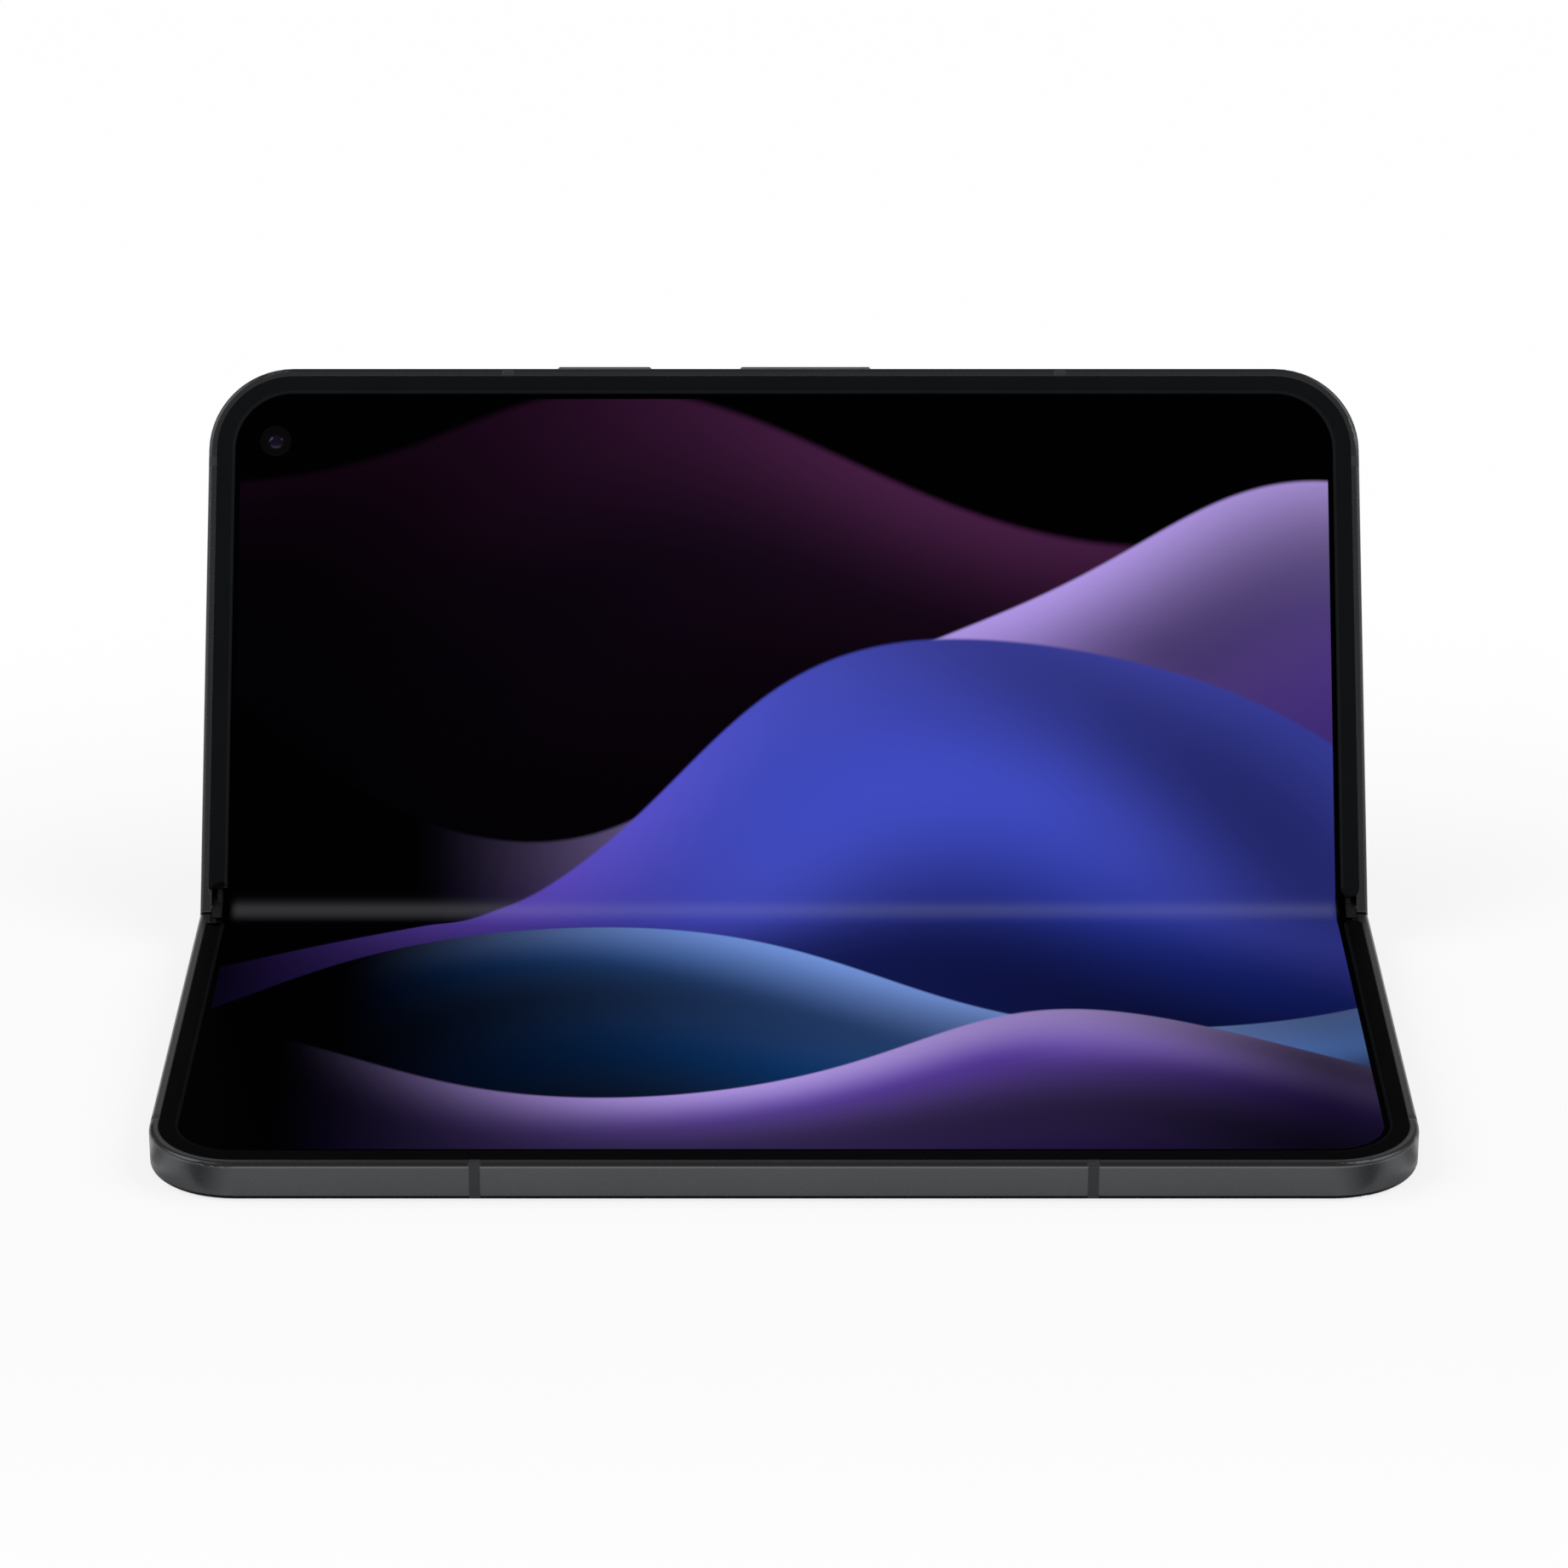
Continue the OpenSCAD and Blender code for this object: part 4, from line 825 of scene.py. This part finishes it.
def rear_lenses():
    """The three lenses: a metal ring each, and inside it the print, the well and the front element."""
    ring = [(RING_R, LENS_SEAT), (RING_R, 1.64), (RING_R - 0.11, 1.75), (LENS_R + 0.16, 1.75), (LENS_R, 1.58),
            (LENS_R, LENS_SEAT)]
    piece("lens_trims", [turned_solid(on_back, x, ISLAND_U, ring, closed=True, count=96) for x in LENS_XS],
          [MATS["lens_ring"]], "lid", ("rear_lens_rings",))
    # from the outside in; each stretch of the profile has its own material
    print_rings = [(LENS_R, LENS_SEAT), (LENS_R, 1.54), (LENS_R - 0.07, 1.6), (3.3, 1.6), (3.2, 1.56)]
    well = [(3.0, 1.42), (2.85, 1.42), (2.7, 1.3), (2.55, 1.3), (2.4, 1.16), (2.3, 1.16)]
    glass = dome(2.25, 1.08, 0.3)
    skins = [0] * (len(print_rings) - 1) + [1] * (len(well) + 1) + [2] * (len(glass) - 1)
    parts = [turned_solid(on_back, x, ISLAND_U, print_rings + well + glass, skins, count=96) for x in LENS_XS]
    piece("lens_fronts", parts, [MATS["lens_print"], MATS["baffle"], MATS["lens_glass"]], "lid",
          ("rear_lens_glasses",))


def flash():
    """The flash's round optic, with five rings on its face."""
    profile = [(FLASH_R, -GLASS_T), (FLASH_R, -0.04), (FLASH_R - 0.05, 0.0), (FLASH_R - 0.25, 0.0)]
    for k in range(5):
        r = FLASH_R - 0.35 - 0.4 * k
        profile += [(r, -0.12), (r - 0.12, -0.03), (r - 0.28, -0.03)]
    profile.append((0.05, -0.02))
    piece("flash_optic", [turned_solid(on_back, ISLAND_X, FLASH_U, profile)], [MATS["flash_lens"]], "lid",
          ("flash_lens",), 20)


def inner_camera():
    """The inner camera: its square body under the mid plate, and its barrel with a stepped front."""
    barrel_r = CAM_HOLE_R - 0.1
    front = [(barrel_r, MID_PLATE), (barrel_r, -0.39), (barrel_r - 0.04, -0.35), (1.3, -0.35), (1.22, -0.4)]
    well = [(1.16, -0.52), (1.08, -0.52), (1.0, -0.64)]
    glass = dome(0.96, -0.68, 0.22)
    skins = [0] * (len(front) - 1) + [1] * (len(well) + 1) + [2] * (len(glass) - 1)
    barrel = turned_solid(on_lid, CAM_X, CAM_U, front + well + glass, skins)
    soft, bottom = 0.25, -3.45
    square = []
    for inset, w in ((soft, bottom), (0.0, bottom + soft), (0.0, MID_PLATE - 0.02)):
        x, u = pill_loop(2 * CAM_BOX, 2 * soft, 0.0, 6)
        k = CAM_BOX - inset
        square.append(on_lid(CAM_X + np.clip(x, -k, k), CAM_U + np.sign(u) * (k - soft) + u, w))
    materials = [MATS["bezel_plastic"], MATS["lens_well"], MATS["small_lens"]]
    piece("selfie_camera", [barrel, stack(square)], materials, "lid", ("inner_camera",))


camera_island()
rear_lenses()
flash()
inner_camera()

# ---------------------------------------------------------------- finishes of the CAD nodes
MATS["inner_display"] = LIT
for sub in frame["record"]["subparts"]:
    materials = NODES[sub["node"]].data.materials
    materials.clear()
    materials.append(MATS[FINISHES.get(sub["node"], sub["material_slot"])])

# ---------------------------------------------------------------- floor
FLOOR_Z = -0.00002      # in metres, a hair under the part
FLOOR_SIZE = 4.0        # half its width
CARD_SPAN = math.radians(120)   # about a front corner, from straight ahead
# (share of that span, level) of the cards beside a front corner, from straight ahead of it (0) past
# its side (0.75)
CARD_LEVELS = ((0.0, 0.91), (0.133, 0.6), (0.2, 0.34), (0.267, 0.16), (0.333, 0.16), (0.39, 0.46),
               (0.45, 1.0), (0.54, 1.0), (0.59, 0.9), (0.65, 0.47), (0.73, 0.26), (0.86, 0.78))


def floor_material():
    """White floor. Where the camera and reflections see it, it goes over to plain white away from the
    phone, and near the phone it keeps the shadow. Reflections also see a dark card and a bright one
    beside each front corner."""
    mat = bpy.data.materials.new("floor")
    mat.use_nodes = True
    g = Graph(mat.node_tree, "ShaderNodeOutputMaterial")
    x, y, _ = g.xyz()
    away = g.far(g.biggest(g.size(x) - LENGTH / 2 * MM, 0.0), g.biggest(g.size(y) - HALF_W / 2 * MM, 0.0))
    seen = g.node("LightPath", "Is Camera Ray") * g.span(g.smooth(0.0, 0.13, away), 0.0, 1.0, 0.8, 0.98)
    mirrored = g.node("LightPath", "Is Glossy Ray") + g.node("LightPath", "Is Transmission Ray")
    # the cards lie in a fan about the centre of each front corner's arc
    ahead = -y - (HALF_W / 2 - CORNER_R) * MM
    aside = g.size(x) - (LENGTH / 2 - CORNER_R) * MM
    turn = g.math("ARCTAN2", aside, ahead) / CARD_SPAN
    fan = g.smooth(0.0, 0.1, turn) * (1 - g.smooth(0.8, 1.0, turn))
    cards = fan * g.smooth(0.0003, 0.0015, away) * (1 - g.smooth(0.03, 0.07, g.far(aside, ahead)))
    level = g.ramp(turn, *CARD_LEVELS)
    white = seen + mirrored * g.biggest(g.smooth(0.001, 0.02, away) * 0.97, cards * 0.9)
    plain = g.node("BsdfDiffuse", ins={"Color": g.mix((0.93, 0.93, 0.93), (0.95, 0.95, 0.95), g.noise(3.0))})
    strength = mirrored * cards * (level - 1.0) + 1.0
    glow = g.node("Emission", ins={"Color": (1.0, 1.0, 1.0), "Strength": strength})
    both = g.node("MixShader", ins={0: white, 1: plain, 2: glow})
    g.put(g.out.inputs[0], both)
    return mat


floor_corners = [(sx * FLOOR_SIZE, sy * FLOOR_SIZE, FLOOR_Z)
                 for sx, sy in ((-1, -1), (1, -1), (1, 1), (-1, 1))]
floor = make("floor", floor_corners, [(0, 1, 2, 3)], [floor_material()])


# ---------------------------------------------------------------- light
def studio():
    """A white room with bright strips low in front and at the sides, with darker corners between them,
    a dim ceiling and a dark band on the back wall."""
    world = bpy.data.worlds.new("studio")
    bpy.context.scene.world = world
    world.use_nodes = True
    g = Graph(world.node_tree, "ShaderNodeOutputWorld")
    x, y, z = g.xyz(g.node("TexCoord", "Generated"))
    front = g.ramp(z, (0.0, 1.0), (0.15, 0.95), (0.35, 0.55), (0.6, 0.3))
    back = g.ramp(z, (0.0, 0.95), (0.12, 0.8), (0.28, 0.25), (0.7, 0.3))
    low = 1 - g.smooth(0.06, 0.3, z)
    across = g.size(x)
    strip = g.smooth(0.5, 0.95, -y) * low
    corner = g.smooth(0.55, 0.72, across) * (1 - g.smooth(0.86, 0.94, across)) * g.smooth(0.1, 0.4, -y)
    side = g.smooth(0.88, 0.97, across) * low
    walls = g.mix(back, front, g.smooth(-0.6, 0.3, -y))
    strength = strip + side * 0.8 - corner * 0.5 + 1.0
    g.put(g.out.inputs[0], g.node("Background", ins={"Color": walls, "Strength": strength}))


SOFTBOX_SIZE = 1.2      # metres
SOFTBOX_WATTS = 13.0
SOFTBOX_TARGET = (0.0, 0.02, 0.0)


def softbox(name, place):
    """A square softbox that faces the phone."""
    data = bpy.data.lights.new(name, "AREA")
    data.shape = "RECTANGLE"
    data.size = SOFTBOX_SIZE
    data.size_y = SOFTBOX_SIZE
    data.energy = SOFTBOX_WATTS
    obj = bpy.data.objects.new(name, data)
    bpy.context.scene.collection.objects.link(obj)
    obj.location = place
    obj.rotation_euler = (Vector(SOFTBOX_TARGET) - Vector(place)).to_track_quat("-Z", "Y").to_euler()


studio()
softbox("softbox_left", (-1.25, -0.1, 1.25))
softbox("softbox_right", (1.25, -0.1, 1.25))

# ---------------------------------------------------------------- camera
PIXELS = 1840.0         # width and height of the frame that the focal length is for
FOCAL_PX = 6466.7
SENSOR = 36.0
PITCH = math.radians(22.446)    # down from level
CAMERA_PLACE = (0.0, -0.63294, 0.30041)
camera = bpy.data.cameras.new("camera")
camera.sensor_width = SENSOR
camera.lens = FOCAL_PX / PIXELS * SENSOR
camera.clip_start, camera.clip_end = 0.01, 30.0
cam = bpy.data.objects.new("camera", camera)
bpy.context.scene.collection.objects.link(cam)
cam.location = CAMERA_PLACE
cam.rotation_euler = (math.pi / 2 - PITCH, 0.0, 0.0)
bpy.context.scene.camera = cam
bpy.context.scene.view_settings.view_transform = "Standard"
